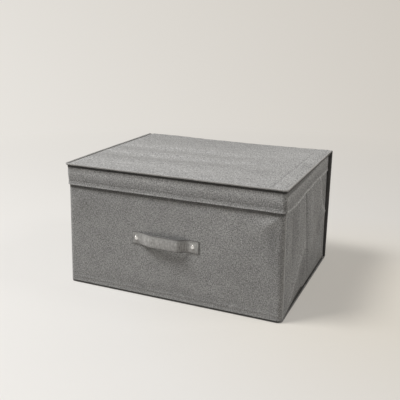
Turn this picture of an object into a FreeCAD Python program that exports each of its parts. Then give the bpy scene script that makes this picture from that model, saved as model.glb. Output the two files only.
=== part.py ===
"""Fabric storage box with a hinged lid: cloth covers over stiff boards, sewn together and bound at the edges.

Millimetres, +Z up, front towards -Y. The origin is the centre of the base on the floor.
"""

import FreeCAD, Part
import math
import os

V = FreeCAD.Vector

# Overall size, over the pipings
box_width = 450.0
box_depth = 350.0
box_height = 250.0

# Sheet materials
cloth = 0.8             # heathered cover cloth
board = 2.4             # greyboard stiffener
lining = 0.6            # non-woven lining
tape = 0.5              # binding tape
cloth_slack = 0.6       # room between a cover and its board, which the base binding fills low down

# The three standing walls: front, left and right
base_overhang = 1.0     # the base piping stands this far outside the wall's foot
wall_lean = 4.2         # each wall leans in by this much from its foot to its rim
rear_draw_in = 4.4      # the side walls run closer together towards the back panel
corner_radius = 8.4     # the front cover turns round the front corners
crease_y = -15.0        # the gusset crease, at which each side wall folds inwards
crease_depth = 1.5
crease_gap = 5.0        # between the two half boards of a side wall
seam_radius = 0.7       # the corded seam behind each front corner
foot_z = 4.0            # height at which the lean is measured
lid_rest_gap = 0.6      # from the rim binding, on which the lid lies, to the lid's lining
rim_tape_drop = 11.0    # how far the rim binding comes down

# Wall hems and base
base_piping = 3.2       # diameter
base_piping_lift = 0.4  # the piping's underside above the floor
hem_z = 5.9             # lower edge of the covers
hem_lift = 4.2          # how far the side hems rise in front of the crease
base_tape_top = 15.0    # the dark tape that joins the walls to the base cloth
base_rear_radius = 4.0
floor_clearance = 0.3   # under the linings and over the base piping

# Loose board on the bottom
insert_board = 3.0
insert_gap = 0.7        # all round, where the walls are closest together

# Back panel, from its outer face forwards
back_margin_tape = 11.0  # how far the dark edge tape comes in over each face
panel_top_gap = 0.2      # between the back panel and the lid's cloth

# Lid
lid_piping = 4.0        # diameter
lid_piping_proud = 0.8  # above the lid's cloth
lid_corner_radius = 6.0
lid_board_thickness = 2.4
lid_board_margin = 1.5  # from the lid board to the piping
skirt = 1.6             # two layers of cloth, turned at the hem
skirt_inset = 2.4       # the piping overhangs the skirt by this much
skirt_rear_draw_in = 4.2
front_skirt_drop = 37.8  # from the lid's lining to the hem
side_skirt_drop = 35.0
skirt_kink = 8.0        # length over which the side hem climbs from the front hem
skirt_rear_gap = 0.5    # from the lid's rear ends to the back panel

# Hinge strip over the top edge of the back panel
hinge_drop = 24.0
hinge_reach = 25.0
hinge_inset = 13.0       # from the back panel's upright edges, inside their tape

# Handle strap on the front wall
strap_width = 25.0
strap_thickness = 2.4
strap_left_x = -79.0
strap_right_x = 62.0
strap_z = 119.0
strap_bow = 14.0        # clear space between the bowed strap and the wall
strap_flat = 20.0       # flat length at each end
strap_foot_share = 0.35  # of each half of the bow, the share that curves away from the wall
rivet_left_x = -69.5
rivet_right_x = 49.5
rivet_cap_radius = 4.0
rivet_cap_height = 1.7
rivet_post_radius = 1.6
rivet_hole_clearance = 0.2
rivet_back_radius = 4.5
rivet_back = 1.0

# Worked out from the sizes above
half_width = box_width / 2
half_depth = box_depth / 2
board_inset = cloth + cloth_slack
lining_inset = board_inset + board
wall = lining_inset + lining

panel_outer_y = half_depth - tape
panel_board_y = panel_outer_y - cloth
panel_lining_y = panel_board_y - board
panel_inner_y = panel_lining_y - lining
wall_rear_y = panel_inner_y - tape
front_run = crease_y - corner_radius - base_overhang + half_depth
rear_run = wall_rear_y - crease_y
crease_draw_in = rear_draw_in * front_run / (front_run + rear_run) + crease_depth
front_slope = crease_draw_in / front_run
rear_slope = (rear_draw_in - crease_draw_in) / rear_run
lid_rear_y = wall_rear_y - skirt_rear_gap

hinge_z = box_height - lid_piping_proud
lid_cloth_z = hinge_z - cloth
hinge_strip_z = lid_cloth_z - lining
panel_top_z = hinge_strip_z - panel_top_gap
lid_board_z = hinge_strip_z - lid_board_thickness
lid_lining_z = lid_board_z - lining
front_skirt_hem_z = lid_lining_z - front_skirt_drop
side_skirt_hem_z = lid_lining_z - side_skirt_drop
rim_z = lid_lining_z - lid_rest_gap
cloth_top = rim_z - tape
lean_height = rim_z - foot_z

piping_top_z = base_piping_lift + base_piping
board_foot_z = piping_top_z + floor_clearance
lining_foot_z = cloth + floor_clearance
insert_z = cloth + floor_clearance
lean_angle = math.degrees(math.atan2(wall_lean, lean_height))

BIG = 2 * (box_width + box_depth + box_height)


def lean(z):
    """How far a standing wall has leaned in at height z."""
    return wall_lean * (z - foot_z) / lean_height


def front_y(z):
    """The front wall's outer face at height z."""
    return base_overhang - half_depth + lean(z)


def corner_end_y(z):
    """Where the rounded front corners end on the side walls."""
    return front_y(z) + corner_radius


def seam_y(z):
    """The middle of the corded seam behind a front corner."""
    return corner_end_y(z) + seam_radius


def half_width_at(y, z):
    """Half width over the side walls, which are drawn in to the crease and run on to the back panel."""
    slope = front_slope if y < crease_y else rear_slope
    return half_width - base_overhang - lean(z) - crease_draw_in + slope * (crease_y - y)


def line(start, end):
    """A straight edge."""
    return Part.LineSegment(start, end).toShape()


def polygon(points):
    """Straight edges round a closed outline."""
    return [line(a, b) for a, b in zip(points, points[1:] + points[:1])]


def rounded_front(half, radius, z):
    """Edges in plan from the rear left round two front corners to the rear right; half is one side's (x, y)."""
    x, y = half[0]
    bend = radius * math.sqrt(0.5)
    left, right = [[V(side * px, py, z) for px, py in half] for side in (-1, 1)]
    centres = V(radius - x, y, z), V(x - radius, y, z)
    noses = [centre - V(0, radius, 0) for centre in centres]
    arcs = [
        Part.Arc(left[0], centres[0] + V(-bend, -bend, 0), noses[0]).toShape(),
        Part.Arc(noses[1], centres[1] + V(bend, -bend, 0), right[0]).toShape(),
    ]
    left_side = [line(a, b) for a, b in zip(left[:0:-1], left[-2::-1])]
    right_side = [line(a, b) for a, b in zip(right, right[1:])]
    return left_side + [arcs[0], line(noses[0], noses[1]), arcs[1]] + right_side


def ends(edges):
    """First and last point of a run of edges."""
    return edges[0].Vertexes[0].Point, edges[-1].Vertexes[-1].Point


def ring(outer, inner):
    """Closed outline between two runs of edges that end side by side."""
    (outer_start, outer_end), (inner_start, inner_end) = ends(outer), ends(inner)
    return outer + [line(outer_end, inner_end)] + inner[::-1] + [line(inner_start, outer_start)]


def leaning(outline, low, high):
    """A solid with outline(z) as its plan, in which no straight edge turns and every arc keeps its radius."""
    lower, upper = outline(low), outline(high)
    faces = [Part.Face(Part.Wire(lower)), Part.Face(Part.Wire(upper))]
    for edge, above in zip(lower, upper):
        start, end = ends([edge])
        above_start, above_end = ends([above])
        if isinstance(edge.Curve, Part.Line):
            faces.append(Part.Face(Part.Wire(polygon([start, end, above_end, above_start]))))
        else:
            faces.append(edge.extrude(above_start - start))
    made = Part.Solid(Part.Shell(faces))
    if made.Volume < 0:
        made.reverse()
    return made


def wall_layer(outer, inner, low, high, stations):
    """One layer of the front wall between two insets, round both corners and along the sides by stations."""

    def run(inset, z):
        half = [(half_width_at(y, z) - inset, y) for y in [corner_end_y(z)] + stations]
        return rounded_front(half, corner_radius - inset, z)

    return leaning(lambda z: ring(run(outer, z), run(inner, z)), low, high)


def side_layer(side, outer, inner, low, high, stations):
    """One layer of a side wall between two insets, from one depth to the next in stations(z)."""

    def outline(z):
        near, far = [
            [V(side * (half_width_at(y, z) - inset), y, z) for y in stations(z)] for inset in (outer, inner)
        ]
        return polygon(near + far[::-1])

    return leaning(outline, low, high)


def block(x0, x1, y0, y1, z0, z1):
    """A plain rectangular block between two corners."""
    return Part.makeBox(x1 - x0, y1 - y0, z1 - z0, V(x0, y0, z0))


def prism_x(points):
    """A profile in the YZ plane, carried right through the box along X."""
    corners = [V(-BIG, y, z) for y, z in points]
    return Part.Face(Part.makePolygon(corners + corners[:1])).extrude(V(2 * BIG, 0, 0))


def solid(shape):
    """The single solid in a boolean result."""
    solids = shape.removeSplitter().Solids
    if len(solids) != 1:
        raise ValueError("expected one solid and got %d" % len(solids))
    return solids[0]


def on_front_wall(shape):
    """Moves a shape from the plane y = 0, outside at -Y, on to the leaning front wall at the strap's height."""
    placed = shape.copy()
    placed.rotate(V(0, 0, 0), V(1, 0, 0), -lean_angle)
    placed.translate(V(0, front_y(strap_z), strap_z))
    return placed


def rivet_holes():
    """Two holes square to the front wall, for the strap's rivets."""
    radius, reach = rivet_post_radius + rivet_hole_clearance, 2 * (strap_thickness + wall)
    return [
        on_front_wall(Part.makeCylinder(radius, 2 * reach, V(x, -reach, 0), V(0, 1, 0)))
        for x in (rivet_left_x, rivet_right_x)
    ]


def front_cover():
    """Front cloth, turned round both front corners as far as the seams."""
    return solid(wall_layer(0, cloth, hem_z, cloth_top, []).cut(rivet_holes()))


def front_board():
    """Stiffener of the front wall, between the rounded corners."""

    def outline(z):
        x, near, far = half_width_at(corner_end_y(z), z) - corner_radius, board_inset, lining_inset
        corners = [(-x, near), (x, near), (x, far), (-x, far)]
        return polygon([V(px, front_y(z) + inset, z) for px, inset in corners])

    return solid(leaning(outline, board_foot_z, cloth_top).cut(rivet_holes()))


def front_lining():
    """Lining of the front wall and its corners."""
    return solid(wall_layer(lining_inset, wall, lining_foot_z, cloth_top, []).cut(rivet_holes()))


def side_cover(side):
    """Gusset cloth of one side wall: creased in the middle, with a hem that lifts in front of the crease."""

    def stations(z):
        return [seam_y(z) + seam_radius, crease_y, wall_rear_y]

    start, end = stations(hem_z)[:2]
    arc = Part.Arc(V(-BIG, start, hem_z), V(-BIG, (start + end) / 2, hem_z + hem_lift), V(-BIG, end, hem_z))
    lifted = Part.Wire([arc.toShape(), line(V(-BIG, end, hem_z), V(-BIG, start, hem_z))])
    panel = side_layer(side, 0, cloth, hem_z, cloth_top, stations)
    return solid(panel.cut(Part.Face(lifted).extrude(V(2 * BIG, 0, 0))))


def side_board(side, front):
    """One of the two half boards of a side wall, which fold at the crease."""

    def stations(z):
        if front:
            return [seam_y(z) + seam_radius, crease_y - crease_gap / 2]
        return [crease_y + crease_gap / 2, wall_rear_y]

    return side_layer(side, board_inset, lining_inset, board_foot_z, cloth_top, stations)


def side_lining(side):
    """Lining of one side wall, from the end of the front lining."""

    def stations(z):
        return [corner_end_y(z), crease_y, wall_rear_y]

    return side_layer(side, lining_inset, wall, lining_foot_z, cloth_top, stations)


def rim_binding():
    """Tape folded over the rim of the front and side walls."""
    low, sides = rim_z - rim_tape_drop, [crease_y, wall_rear_y]
    outer_leg = wall_layer(-tape, 0, low, cloth_top, sides)
    inner_leg = wall_layer(wall, wall + tape, low, cloth_top, sides)
    top = wall_layer(-tape, wall + tape, cloth_top, rim_z, sides)
    return solid(top.fuse([outer_leg, inner_leg]))


def corner_seam(side):
    """Corded seam between the front cloth and a side gusset."""
    low, high = hem_z, rim_z - rim_tape_drop
    inset = cloth - seam_radius
    start, end = [V(side * (half_width_at(seam_y(z), z) - inset), seam_y(z), z) for z in (low, high)]
    return Part.makeCylinder(seam_radius, start.distanceToPoint(end), start, end - start)


def back_layer(outer_y, thickness, margin):
    """One flat layer of the back panel, margin inside the panel's sides."""
    half = half_width - margin
    return block(-half, half, outer_y - thickness, outer_y, board_foot_z, panel_top_z)


def back_binding(side):
    """Dark tape folded round one upright edge of the back panel."""
    near, far = half_width - back_margin_tape, half_width
    folded = block(near, far, wall_rear_y, half_depth, board_foot_z, panel_top_z)
    inside = block(near - tape, far - tape, panel_inner_y, panel_outer_y, board_foot_z, panel_top_z)
    tape_shape = folded.cut(inside)
    if side < 0:
        tape_shape = tape_shape.mirror(V(0, 0, 0), V(1, 0, 0))
    return solid(tape_shape)


def base_path(inset, z):
    """Rounded rectangle that the base follows, inset from the overall width and depth."""
    front, rear = corner_radius + base_overhang - inset, base_rear_radius - inset
    x, y = half_width - inset, half_depth - inset
    corners = [(-1, -1, front), (1, -1, front), (1, 1, rear), (-1, 1, rear)]
    bend = 1 - math.sqrt(0.5)
    arcs = []
    for sx, sy, r in corners:
        ends = [V(sx * x, sy * (y - r), z), V(sx * (x - r), sy * y, z)]
        if sx * sy < 0:
            ends.reverse()
        arcs.append((ends[0], V(sx * (x - r * bend), sy * (y - r * bend), z), ends[1]))
    edges = []
    for now, after in zip(arcs, arcs[1:] + arcs[:1]):
        edges.append(Part.Arc(*now).toShape())
        edges.append(Part.LineSegment(now[2], after[0]).toShape())
    return Part.Wire(edges)


def bottom_cover():
    """Base cloth, flat on the floor inside the piping."""
    return Part.Face(base_path(base_piping, 0)).extrude(V(0, 0, cloth))


def base_piping_ring():
    """Piping round the foot of the box."""
    radius = base_piping / 2
    path = base_path(radius, base_piping_lift + radius)
    start = V(0, -half_depth + radius, base_piping_lift + radius)
    return solid(pipe(path, radius, start, V(1, 0, 0)))


def pipe(path, radius, start, direction):
    """A round section carried along a path of lines and tangent arcs."""
    circle = Part.Wire(Part.makeCircle(radius, start, direction))
    return path.makePipeShell([circle], True, False)


def base_binding():
    """Dark tape between the walls' covers and boards, which joins the walls to the base cloth."""
    return wall_layer(cloth, board_inset, piping_top_z, base_tape_top, [crease_y, wall_rear_y])


def insert_corners():
    """Half width, front and rear of the loose bottom board, which passes the rim."""
    inset = wall + tape + insert_gap
    half = min(half_width_at(y, rim_z) for y in (corner_end_y(rim_z), crease_y, wall_rear_y)) - inset
    return half, front_y(rim_z) + inset, wall_rear_y - insert_gap


def base_board_cover():
    """Lining cloth wrapped all round the loose bottom board."""
    half, front, rear = insert_corners()
    outside = block(-half, half, front, rear, insert_z, insert_z + insert_board + 2 * lining)
    return solid(outside.cut(base_board()))


def base_board():
    """The loose board that stiffens the bottom and lifts out."""
    half, front, rear = insert_corners()
    low = insert_z + lining
    return block(lining - half, half - lining, front + lining, rear - lining, low, low + insert_board)


def strap_edges(outset):
    """One face of the strap in plan, outset from the wall: flat ends, and a bow of tangent arcs between them."""
    start, end = strap_left_x + strap_flat, strap_right_x - strap_flat
    middle, reach = (start + end) / 2, (end - start) / 2
    slope = 2 * math.atan2(strap_bow, reach)
    full_radius = (reach ** 2 + strap_bow ** 2) / (2 * strap_bow)
    foot_radius = strap_foot_share * full_radius
    bow_radius = full_radius - foot_radius

    def foot(side, angle):
        radius = foot_radius - outset
        return V(middle - side * (reach - radius * math.sin(angle)), radius * math.cos(angle) - foot_radius, 0)

    def bow(angle):
        radius = bow_radius + outset
        return V(middle + radius * math.sin(angle), bow_radius - strap_bow - radius * math.cos(angle), 0)

    left = [foot(1, slope * share) for share in (0, 0.5, 1)]
    right = [foot(-1, slope * share) for share in (1, 0.5, 0)]
    return [
        Part.LineSegment(V(strap_left_x, -outset, 0), left[0]).toShape(),
        Part.Arc(*left).toShape(),
        Part.Arc(left[-1], bow(0), right[0]).toShape(),
        Part.Arc(*right).toShape(),
        Part.LineSegment(right[-1], V(strap_right_x, -outset, 0)).toShape(),
    ]


def handle_strap():
    """Folded cloth strap, flat under its rivets and bowed out between them."""
    inner, outer = strap_edges(0), strap_edges(strap_thickness)
    ends = [
        Part.LineSegment(V(x, 0, 0), V(x, -strap_thickness, 0)).toShape()
        for x in (strap_left_x, strap_right_x)
    ]
    face = Part.Face(Part.Wire(Part.__sortEdges__(inner + outer + ends)))
    strap = face.extrude(V(0, 0, strap_width))
    strap.translate(V(0, 0, -strap_width / 2))
    return solid(on_front_wall(strap).cut(rivet_holes()))


def handle_rivets():
    """Two rivets: a domed cap on the strap and a post through the strap and the wall."""
    dome_radius = (rivet_cap_radius ** 2 + rivet_cap_height ** 2) / (2 * rivet_cap_height)
    rivets = []
    for x in (rivet_left_x, rivet_right_x):
        centre = V(x, dome_radius - rivet_cap_height - strap_thickness, 0)
        ball = Part.makeSphere(dome_radius, centre)
        cap = ball.common(block(x - BIG, x + BIG, -BIG, -strap_thickness, -BIG, BIG))
        post = Part.makeCylinder(rivet_post_radius, strap_thickness + wall, V(x, -strap_thickness, 0), V(0, 1, 0))
        rivets.append(solid(cap.fuse(post)))
    return on_front_wall(Part.makeCompound(rivets))


def rivet_backs():
    """Flat washers that close the rivets on the lining."""
    washers = []
    for x in (rivet_left_x, rivet_right_x):
        disc = Part.makeCylinder(rivet_back_radius, rivet_back, V(x, wall, 0), V(0, 1, 0))
        washers.append(disc.makeChamfer(rivet_back / 2, [disc.Edges[0]]))
    return on_front_wall(Part.makeCompound(washers))


def lid_plate(inset, rear_y, low, high):
    """A flat layer of the lid with rounded front corners, inset from the piping's outer line."""
    radius = max(lid_corner_radius + lid_piping / 2 - inset, lid_corner_radius / 4)
    x = half_width - inset
    edges = rounded_front([(x, radius + inset - half_depth), (x, rear_y)], radius, low)
    return Part.Face(Part.Wire(edges + [line(*ends(edges))])).extrude(V(0, 0, high - low))


def lid_cover():
    """Top cloth of the lid, which runs over the back panel to the hinge line."""
    return lid_plate(lid_piping, half_depth, lid_cloth_z, hinge_z)


def lid_board():
    """Stiffener of the lid, in front of the back panel."""
    return lid_plate(lid_piping + lid_board_margin, lid_rear_y, lid_board_z, hinge_strip_z)


def lid_lining():
    """Lining under the lid, sewn to the skirt's upper edge."""
    return lid_plate(skirt_inset, lid_rear_y, lid_lining_z, lid_board_z)


def lid_piping_cord():
    """Raised piping round the front and sides of the lid."""
    radius = lid_piping / 2
    x, y, z = half_width - radius, radius + lid_corner_radius - half_depth, box_height - radius
    edges = rounded_front([(x, y), (x, lid_rear_y)], lid_corner_radius, z)
    return solid(pipe(Part.Wire(edges), radius, V(-x, lid_rear_y, z), V(0, -1, 0)))


def skirt_side(inset):
    """(x, y) of the side skirt's front and rear ends, inset from its outer face."""
    x = half_width - skirt_inset - inset
    return [(x, skirt_inset + corner_radius - half_depth), (x - skirt_rear_draw_in, lid_rear_y)]


def lid_skirt_front():
    """Front skirt, turned round both corners."""
    outer, inner = [
        rounded_front(skirt_side(inset)[:1], corner_radius - inset, front_skirt_hem_z) for inset in (0, skirt)
    ]
    return Part.Face(Part.Wire(ring(outer, inner))).extrude(V(0, 0, front_skirt_drop))


def lid_skirt_side(side):
    """Side skirt, whose hem climbs from the front skirt's and then runs level."""
    corners = skirt_side(0) + skirt_side(skirt)[::-1]
    outline = polygon([V(side * x, y, front_skirt_hem_z) for x, y in corners])
    start = corners[0][1]
    under_hem = prism_x([
        (start - 1, front_skirt_hem_z - 1), (start, front_skirt_hem_z), (start + skirt_kink, side_skirt_hem_z),
        (half_depth, side_skirt_hem_z), (half_depth, front_skirt_hem_z - 1),
    ])
    return solid(Part.Face(Part.Wire(outline)).extrude(V(0, 0, front_skirt_drop)).cut(under_hem))


def hinge_strip():
    """Cloth hinge: sewn behind the back panel and carried over its top edge, under the lid's cloth."""
    half = half_width - hinge_inset
    over = block(-half, half, half_depth - hinge_reach, half_depth, hinge_strip_z, lid_cloth_z)
    down = block(-half, half, panel_outer_y, half_depth, lid_cloth_z - hinge_drop, lid_cloth_z)
    return solid(over.fuse(down))


def pieces():
    """Every sub-part by name."""
    made = {
        "front_cover": front_cover(),
        "front_board": front_board(),
        "front_lining": front_lining(),
        "back_cover": back_layer(panel_outer_y, cloth, tape),
        "back_board": back_layer(panel_board_y, board, tape),
        "back_lining": back_layer(panel_lining_y, lining, tape),
        "rim_binding": rim_binding(),
        "bottom_cover": bottom_cover(),
        "base_piping": base_piping_ring(),
        "base_binding": base_binding(),
        "base_board": base_board(),
        "base_board_cover": base_board_cover(),
        "handle_strap": handle_strap(),
        "handle_rivets": handle_rivets(),
        "rivet_backs": rivet_backs(),
        "lid_cover": lid_cover(),
        "lid_board": lid_board(),
        "lid_lining": lid_lining(),
        "lid_piping": lid_piping_cord(),
        "lid_skirt_front": lid_skirt_front(),
        "hinge_strip": hinge_strip(),
    }
    for name, side in (("left", -1), ("right", 1)):
        made[name + "_cover"] = side_cover(side)
        made[name + "_front_board"] = side_board(side, True)
        made[name + "_rear_board"] = side_board(side, False)
        made[name + "_lining"] = side_lining(side)
        made["corner_seam_" + name] = corner_seam(side)
        made["back_binding_" + name] = back_binding(side)
        made["lid_skirt_" + name] = lid_skirt_side(side)
    return made


os.makedirs("parts", exist_ok=True)
for name, shape in pieces().items():
    shape.exportStep("parts/%s.step" % name)
    print("%-20s %d solid, %10.1f mm3, valid %s" % (name, len(shape.Solids), shape.Volume, shape.isValid()))
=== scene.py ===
# %% [markdown]
# # A cloth storage box with a hinged lid
#
# The box is stiff board inside and sewn cloth outside. Blender gets the stiff model as a fixed frame, and this
# lesson dresses it. Cloth never lies dead flat, so each cover, lining, tape and cord is made again here as a
# surface worked out with numpy: a base shape taken from the frame's sizes, plus the small swells, folds and
# seams that sewing leaves. The boards of the lid and the back are made again too, so that they sag with their
# cloth, and so are the rivets, with rolled rims. The other boards keep the frame's shape.

# %% The frame and the names that every cell uses
import math

import bpy
import numpy as np
from mathutils import Matrix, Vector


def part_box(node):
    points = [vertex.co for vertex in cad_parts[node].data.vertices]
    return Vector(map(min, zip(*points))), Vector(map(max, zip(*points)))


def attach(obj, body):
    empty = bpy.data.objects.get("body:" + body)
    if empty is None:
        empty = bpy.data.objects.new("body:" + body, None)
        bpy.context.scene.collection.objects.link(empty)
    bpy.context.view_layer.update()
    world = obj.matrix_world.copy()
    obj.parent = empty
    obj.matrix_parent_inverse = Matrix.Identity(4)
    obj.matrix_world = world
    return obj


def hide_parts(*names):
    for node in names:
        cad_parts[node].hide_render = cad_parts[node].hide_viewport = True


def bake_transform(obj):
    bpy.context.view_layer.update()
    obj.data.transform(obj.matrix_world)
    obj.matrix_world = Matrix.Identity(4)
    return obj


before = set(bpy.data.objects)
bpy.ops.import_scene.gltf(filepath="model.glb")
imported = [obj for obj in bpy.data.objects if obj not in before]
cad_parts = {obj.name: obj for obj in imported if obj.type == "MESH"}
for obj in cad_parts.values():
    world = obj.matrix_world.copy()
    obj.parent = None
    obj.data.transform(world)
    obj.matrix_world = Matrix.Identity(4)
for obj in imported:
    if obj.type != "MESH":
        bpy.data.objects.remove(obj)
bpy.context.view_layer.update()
mm = 0.001

# %% [markdown]
# ## Sizes
#
# The walls lean inwards a little as they rise, the side walls also run together towards the back, and each has
# a crease in the middle along which the box folds. One set of numbers describes all of that, so that every
# layer of cloth follows the same wall.

# %% Sizes of the box, in metres
half_width, half_depth, height = 225 * mm, 175 * mm, 250 * mm
cloth, tape = 0.8 * mm, 0.5 * mm
wall_thickness = 4.4 * mm
lining_inset = 3.8 * mm
overhang, total_lean, corner_radius, rear_draw_in = 1.0 * mm, 4.2 * mm, 8.4 * mm, 4.4 * mm
foot_z, rim_z, cloth_top = 4.0 * mm, 244.2 * mm, 243.7 * mm
foot_hem, hem_z = 4.6 * mm, 5.9 * mm
crease_y, rear_y, rear_seam_y = -15.0 * mm, 170.2 * mm, 166.5 * mm
seam_radius = 0.7 * mm
panel_low, panel_top = 3.9 * mm, 247.6 * mm
lid_top, lid_cloth_low, lid_board_high = 249.2 * mm, 248.4 * mm, 247.3 * mm
lid_board_low, lid_lining_low = 245.4 * mm, 244.8 * mm
lid_reach, lid_front_y, lid_rear_y = 221 * mm, -171 * mm, 169.7 * mm
lid_stitch_x = 193.5 * mm
skirt_inset, skirt_thickness, skirt_draw_in = 2.4 * mm, 1.6 * mm, 4.6 * mm
skirt_top_front, skirt_top_side, front_hem_z = 242.2 * mm, 241.0 * mm, 207.0 * mm
skirt_side_run = 333.9 * mm
flat_half = 212 * mm  # half of the front's flat part, of the hinge strip and of the part of the lid that sags
tape_reach = 11 * mm  # how far a folded tape goes down on each side of its edge

front_run = crease_y + half_depth - overhang - corner_radius
rear_run = rear_y - crease_y
crease_in = rear_draw_in * front_run / (front_run + rear_run) + 1.5 * mm
front_slope, rear_slope = crease_in / front_run, (rear_draw_in - crease_in) / rear_run
print("walls lean %.2f degrees, creases lie %.1f mm in" % (math.degrees(total_lean / (rim_z - foot_z)), crease_in / mm))

# %% [markdown]
# ## The camera
#
# It stands in front and to the right, a little above the box, with a slightly long lens so that the upright
# edges stay nearly parallel. Its place is written as two angles and a distance from a point in the box.

# %% Camera
azimuth, elevation, roll = math.radians(23.51), math.radians(17.03), math.radians(0.54)
distance, aim = 1.3005, np.array([-0.01146, 0.0, 0.15367])
sensor_width, focal_pixels, picture_pixels = 36.0, 617.0, 400
backwards = np.array([math.sin(azimuth) * math.cos(elevation), -math.cos(azimuth) * math.cos(elevation),
                      math.sin(elevation)])
rightwards = np.array([math.cos(azimuth), math.sin(azimuth), 0.0])
upwards = np.cross(backwards, rightwards)
turned_right = rightwards * math.cos(roll) + upwards * math.sin(roll)
turned_up = upwards * math.cos(roll) - rightwards * math.sin(roll)
eye = aim + backwards * distance

lens = bpy.data.cameras.new("camera")
lens.sensor_width, lens.lens, lens.clip_end = sensor_width, focal_pixels / picture_pixels * sensor_width, 50.0
camera = bpy.data.objects.new("camera", lens)
pose = np.eye(4)
pose[:3, :4] = np.column_stack([turned_right, turned_up, backwards, eye])
camera.matrix_world = Matrix(pose.tolist())
bpy.context.scene.collection.objects.link(camera)
bpy.context.scene.camera = camera
print("camera at", np.round(eye, 3), "lens %.1f mm" % lens.lens)

# %% [markdown]
# ## Cloth as numbers
#
# A few small helpers are enough for the whole box. `step` eases from 0 to 1. `swell` is a soft bump, and `spots`
# adds up a table of them. `ridge` is a soft fold, from the distance to its line, and `near_line` gives it along a
# line of several points. `unrest` is gentle randomness: a sum of long waves that run in all directions, the same on
# every run because its seed is fixed.

# %% Helpers for soft shapes
def step(x, start, end):
    """0 before start, 1 after end, and t * t * (3 - 2 t) between them, with t the share of the way."""
    t = np.clip((x - start) / (end - start), 0, 1)
    return t * t * (3 - 2 * t)


def swell(a, b, centre, size):
    """exp(-(da / size_a) ** 2 - (db / size_b) ** 2): a soft bump round a centre."""
    return np.exp(-((a - centre[0]) / size[0]) ** 2 - ((b - centre[1]) / size[1]) ** 2)


def spots(a, b, table):
    """Sum of amount * swell over rows of (amount, centre a, centre b, size a, size b), places in millimetres."""
    total = 0.0
    for amount, at_a, at_b, size_a, size_b in table:
        total = total + amount * swell(a, b, (at_a * mm, at_b * mm), (size_a * mm, size_b * mm))
    return total


def ridge(distance, width):
    """1 / (1 + (distance / width) ** 2) ** 1.5: a soft fold with a long foot."""
    return (1 + (distance / width) ** 2) ** -1.5


def near_line(a, b, points, width):
    """The largest ridge(distance, width) over the runs of a line of (a, b) points, given in millimetres."""
    near = 0.0
    for start, end in zip(np.array(points[:-1]) * mm, np.array(points[1:]) * mm):
        way = end - start
        share = np.clip(((a - start[0]) * way[0] + (b - start[1]) * way[1]) / (way @ way), 0, 1)
        distance = np.hypot(a - start[0] - share * way[0], b - start[1] - share * way[1])
        near = np.maximum(near, ridge(distance, width))
    return near


def unrest(a, b, size, seed, waves=9):
    """Sum of cos(2 pi (a cos h + b sin h) / length + phase) / sqrt(waves), headings h all round, lengths near size."""
    draw = np.random.default_rng(seed)
    headings, phases = draw.uniform(0, math.pi, waves), draw.uniform(0, 2 * math.pi, waves)
    lengths = size * draw.uniform(0.7, 1.5, waves)
    total = np.zeros(np.broadcast(a, b).shape)
    for heading, phase, length in zip(headings, phases, lengths):
        total = total + np.cos(2 * math.pi * (a * math.cos(heading) + b * math.sin(heading)) / length + phase)
    return total / math.sqrt(waves)


print("unrest spreads about", round(float(unrest(np.linspace(0, 1, 200), 0.0, 0.05, 1).std()), 2))

# %% [markdown]
# ## From grids to meshes
#
# A piece of cloth is two grids of points, its outer and its inner face, joined by a strip along their borders.
# A tape or cord is one grid that closes round on itself, with its ends capped. Each mesh carries a map in real
# metres along the cloth, so that the weave has the same size everywhere and runs with the piece.

# %% Mesh builders
def as_points(*parts):
    """One grid of points from its coordinates, which may be numbers, rows, columns or whole grids."""
    return np.stack(np.broadcast_arrays(*parts), axis=-1)


def walked_length(path):
    """The length walked from the path's first point to each point."""
    return np.concatenate([[0], np.cumsum(np.linalg.norm(np.diff(path, axis=0), axis=1))])


def quads(grid):
    """The four neighbours (i, j), (i, j + 1), (i + 1, j + 1), (i + 1, j) for every square of a grid."""
    corners = [grid[:-1, :-1], grid[:-1, 1:], grid[1:, 1:], grid[1:, :-1]]
    return np.stack(corners, axis=2).reshape(-1, 4, *grid.shape[2:])


def volume(points, faces):
    """Sum over the fan triangles of each face of a . (b x c) / 6."""
    a, total = points[faces[:, 0]], 0.0
    for k in range(1, faces.shape[1] - 1):
        total += np.einsum("ij,ij->i", a, np.cross(points[faces[:, k]], points[faces[:, k + 1]])).sum() / 6
    return total


def mesh_object(name, points, face_sets, map_sets, painted_shading=None):
    """Writes faces of any corner counts, their map and each point's painted light and shade into a mesh, turned to a
    positive volume.
    """
    if sum(volume(points, faces) for faces in face_sets) < 0:
        face_sets = [faces[:, ::-1] for faces in face_sets]
        map_sets = [corners[:, ::-1] for corners in map_sets]
    loops = np.concatenate([faces.ravel() for faces in face_sets])
    counts = np.concatenate([np.full(len(faces), faces.shape[1]) for faces in face_sets])
    mesh = bpy.data.meshes.new(name)
    mesh.vertices.add(len(points))
    mesh.vertices.foreach_set("co", points.astype(np.float32).ravel())
    mesh.loops.add(len(loops))
    mesh.loops.foreach_set("vertex_index", loops.astype(np.int32))
    mesh.polygons.add(len(counts))
    mesh.polygons.foreach_set("loop_start", (np.cumsum(counts) - counts).astype(np.int32))
    mesh.polygons.foreach_set("use_smooth", np.ones(len(counts), bool))
    layer = mesh.uv_layers.new(name="cloth")
    mesh.update(calc_edges=True)
    layer.data.foreach_set("uv", np.concatenate([c.reshape(-1, 2) for c in map_sets]).astype(np.float32).ravel())
    # each point's painted light and shade is kept as a point attribute
    if painted_shading is not None:
        mesh.attributes.new("painted_shading", "FLOAT", "POINT").data.foreach_set("value", painted_shading.astype(np.float32).ravel())
    mesh.validate()
    made = bpy.data.objects.new(name, mesh)
    bpy.context.scene.collection.objects.link(made)
    return made


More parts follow.
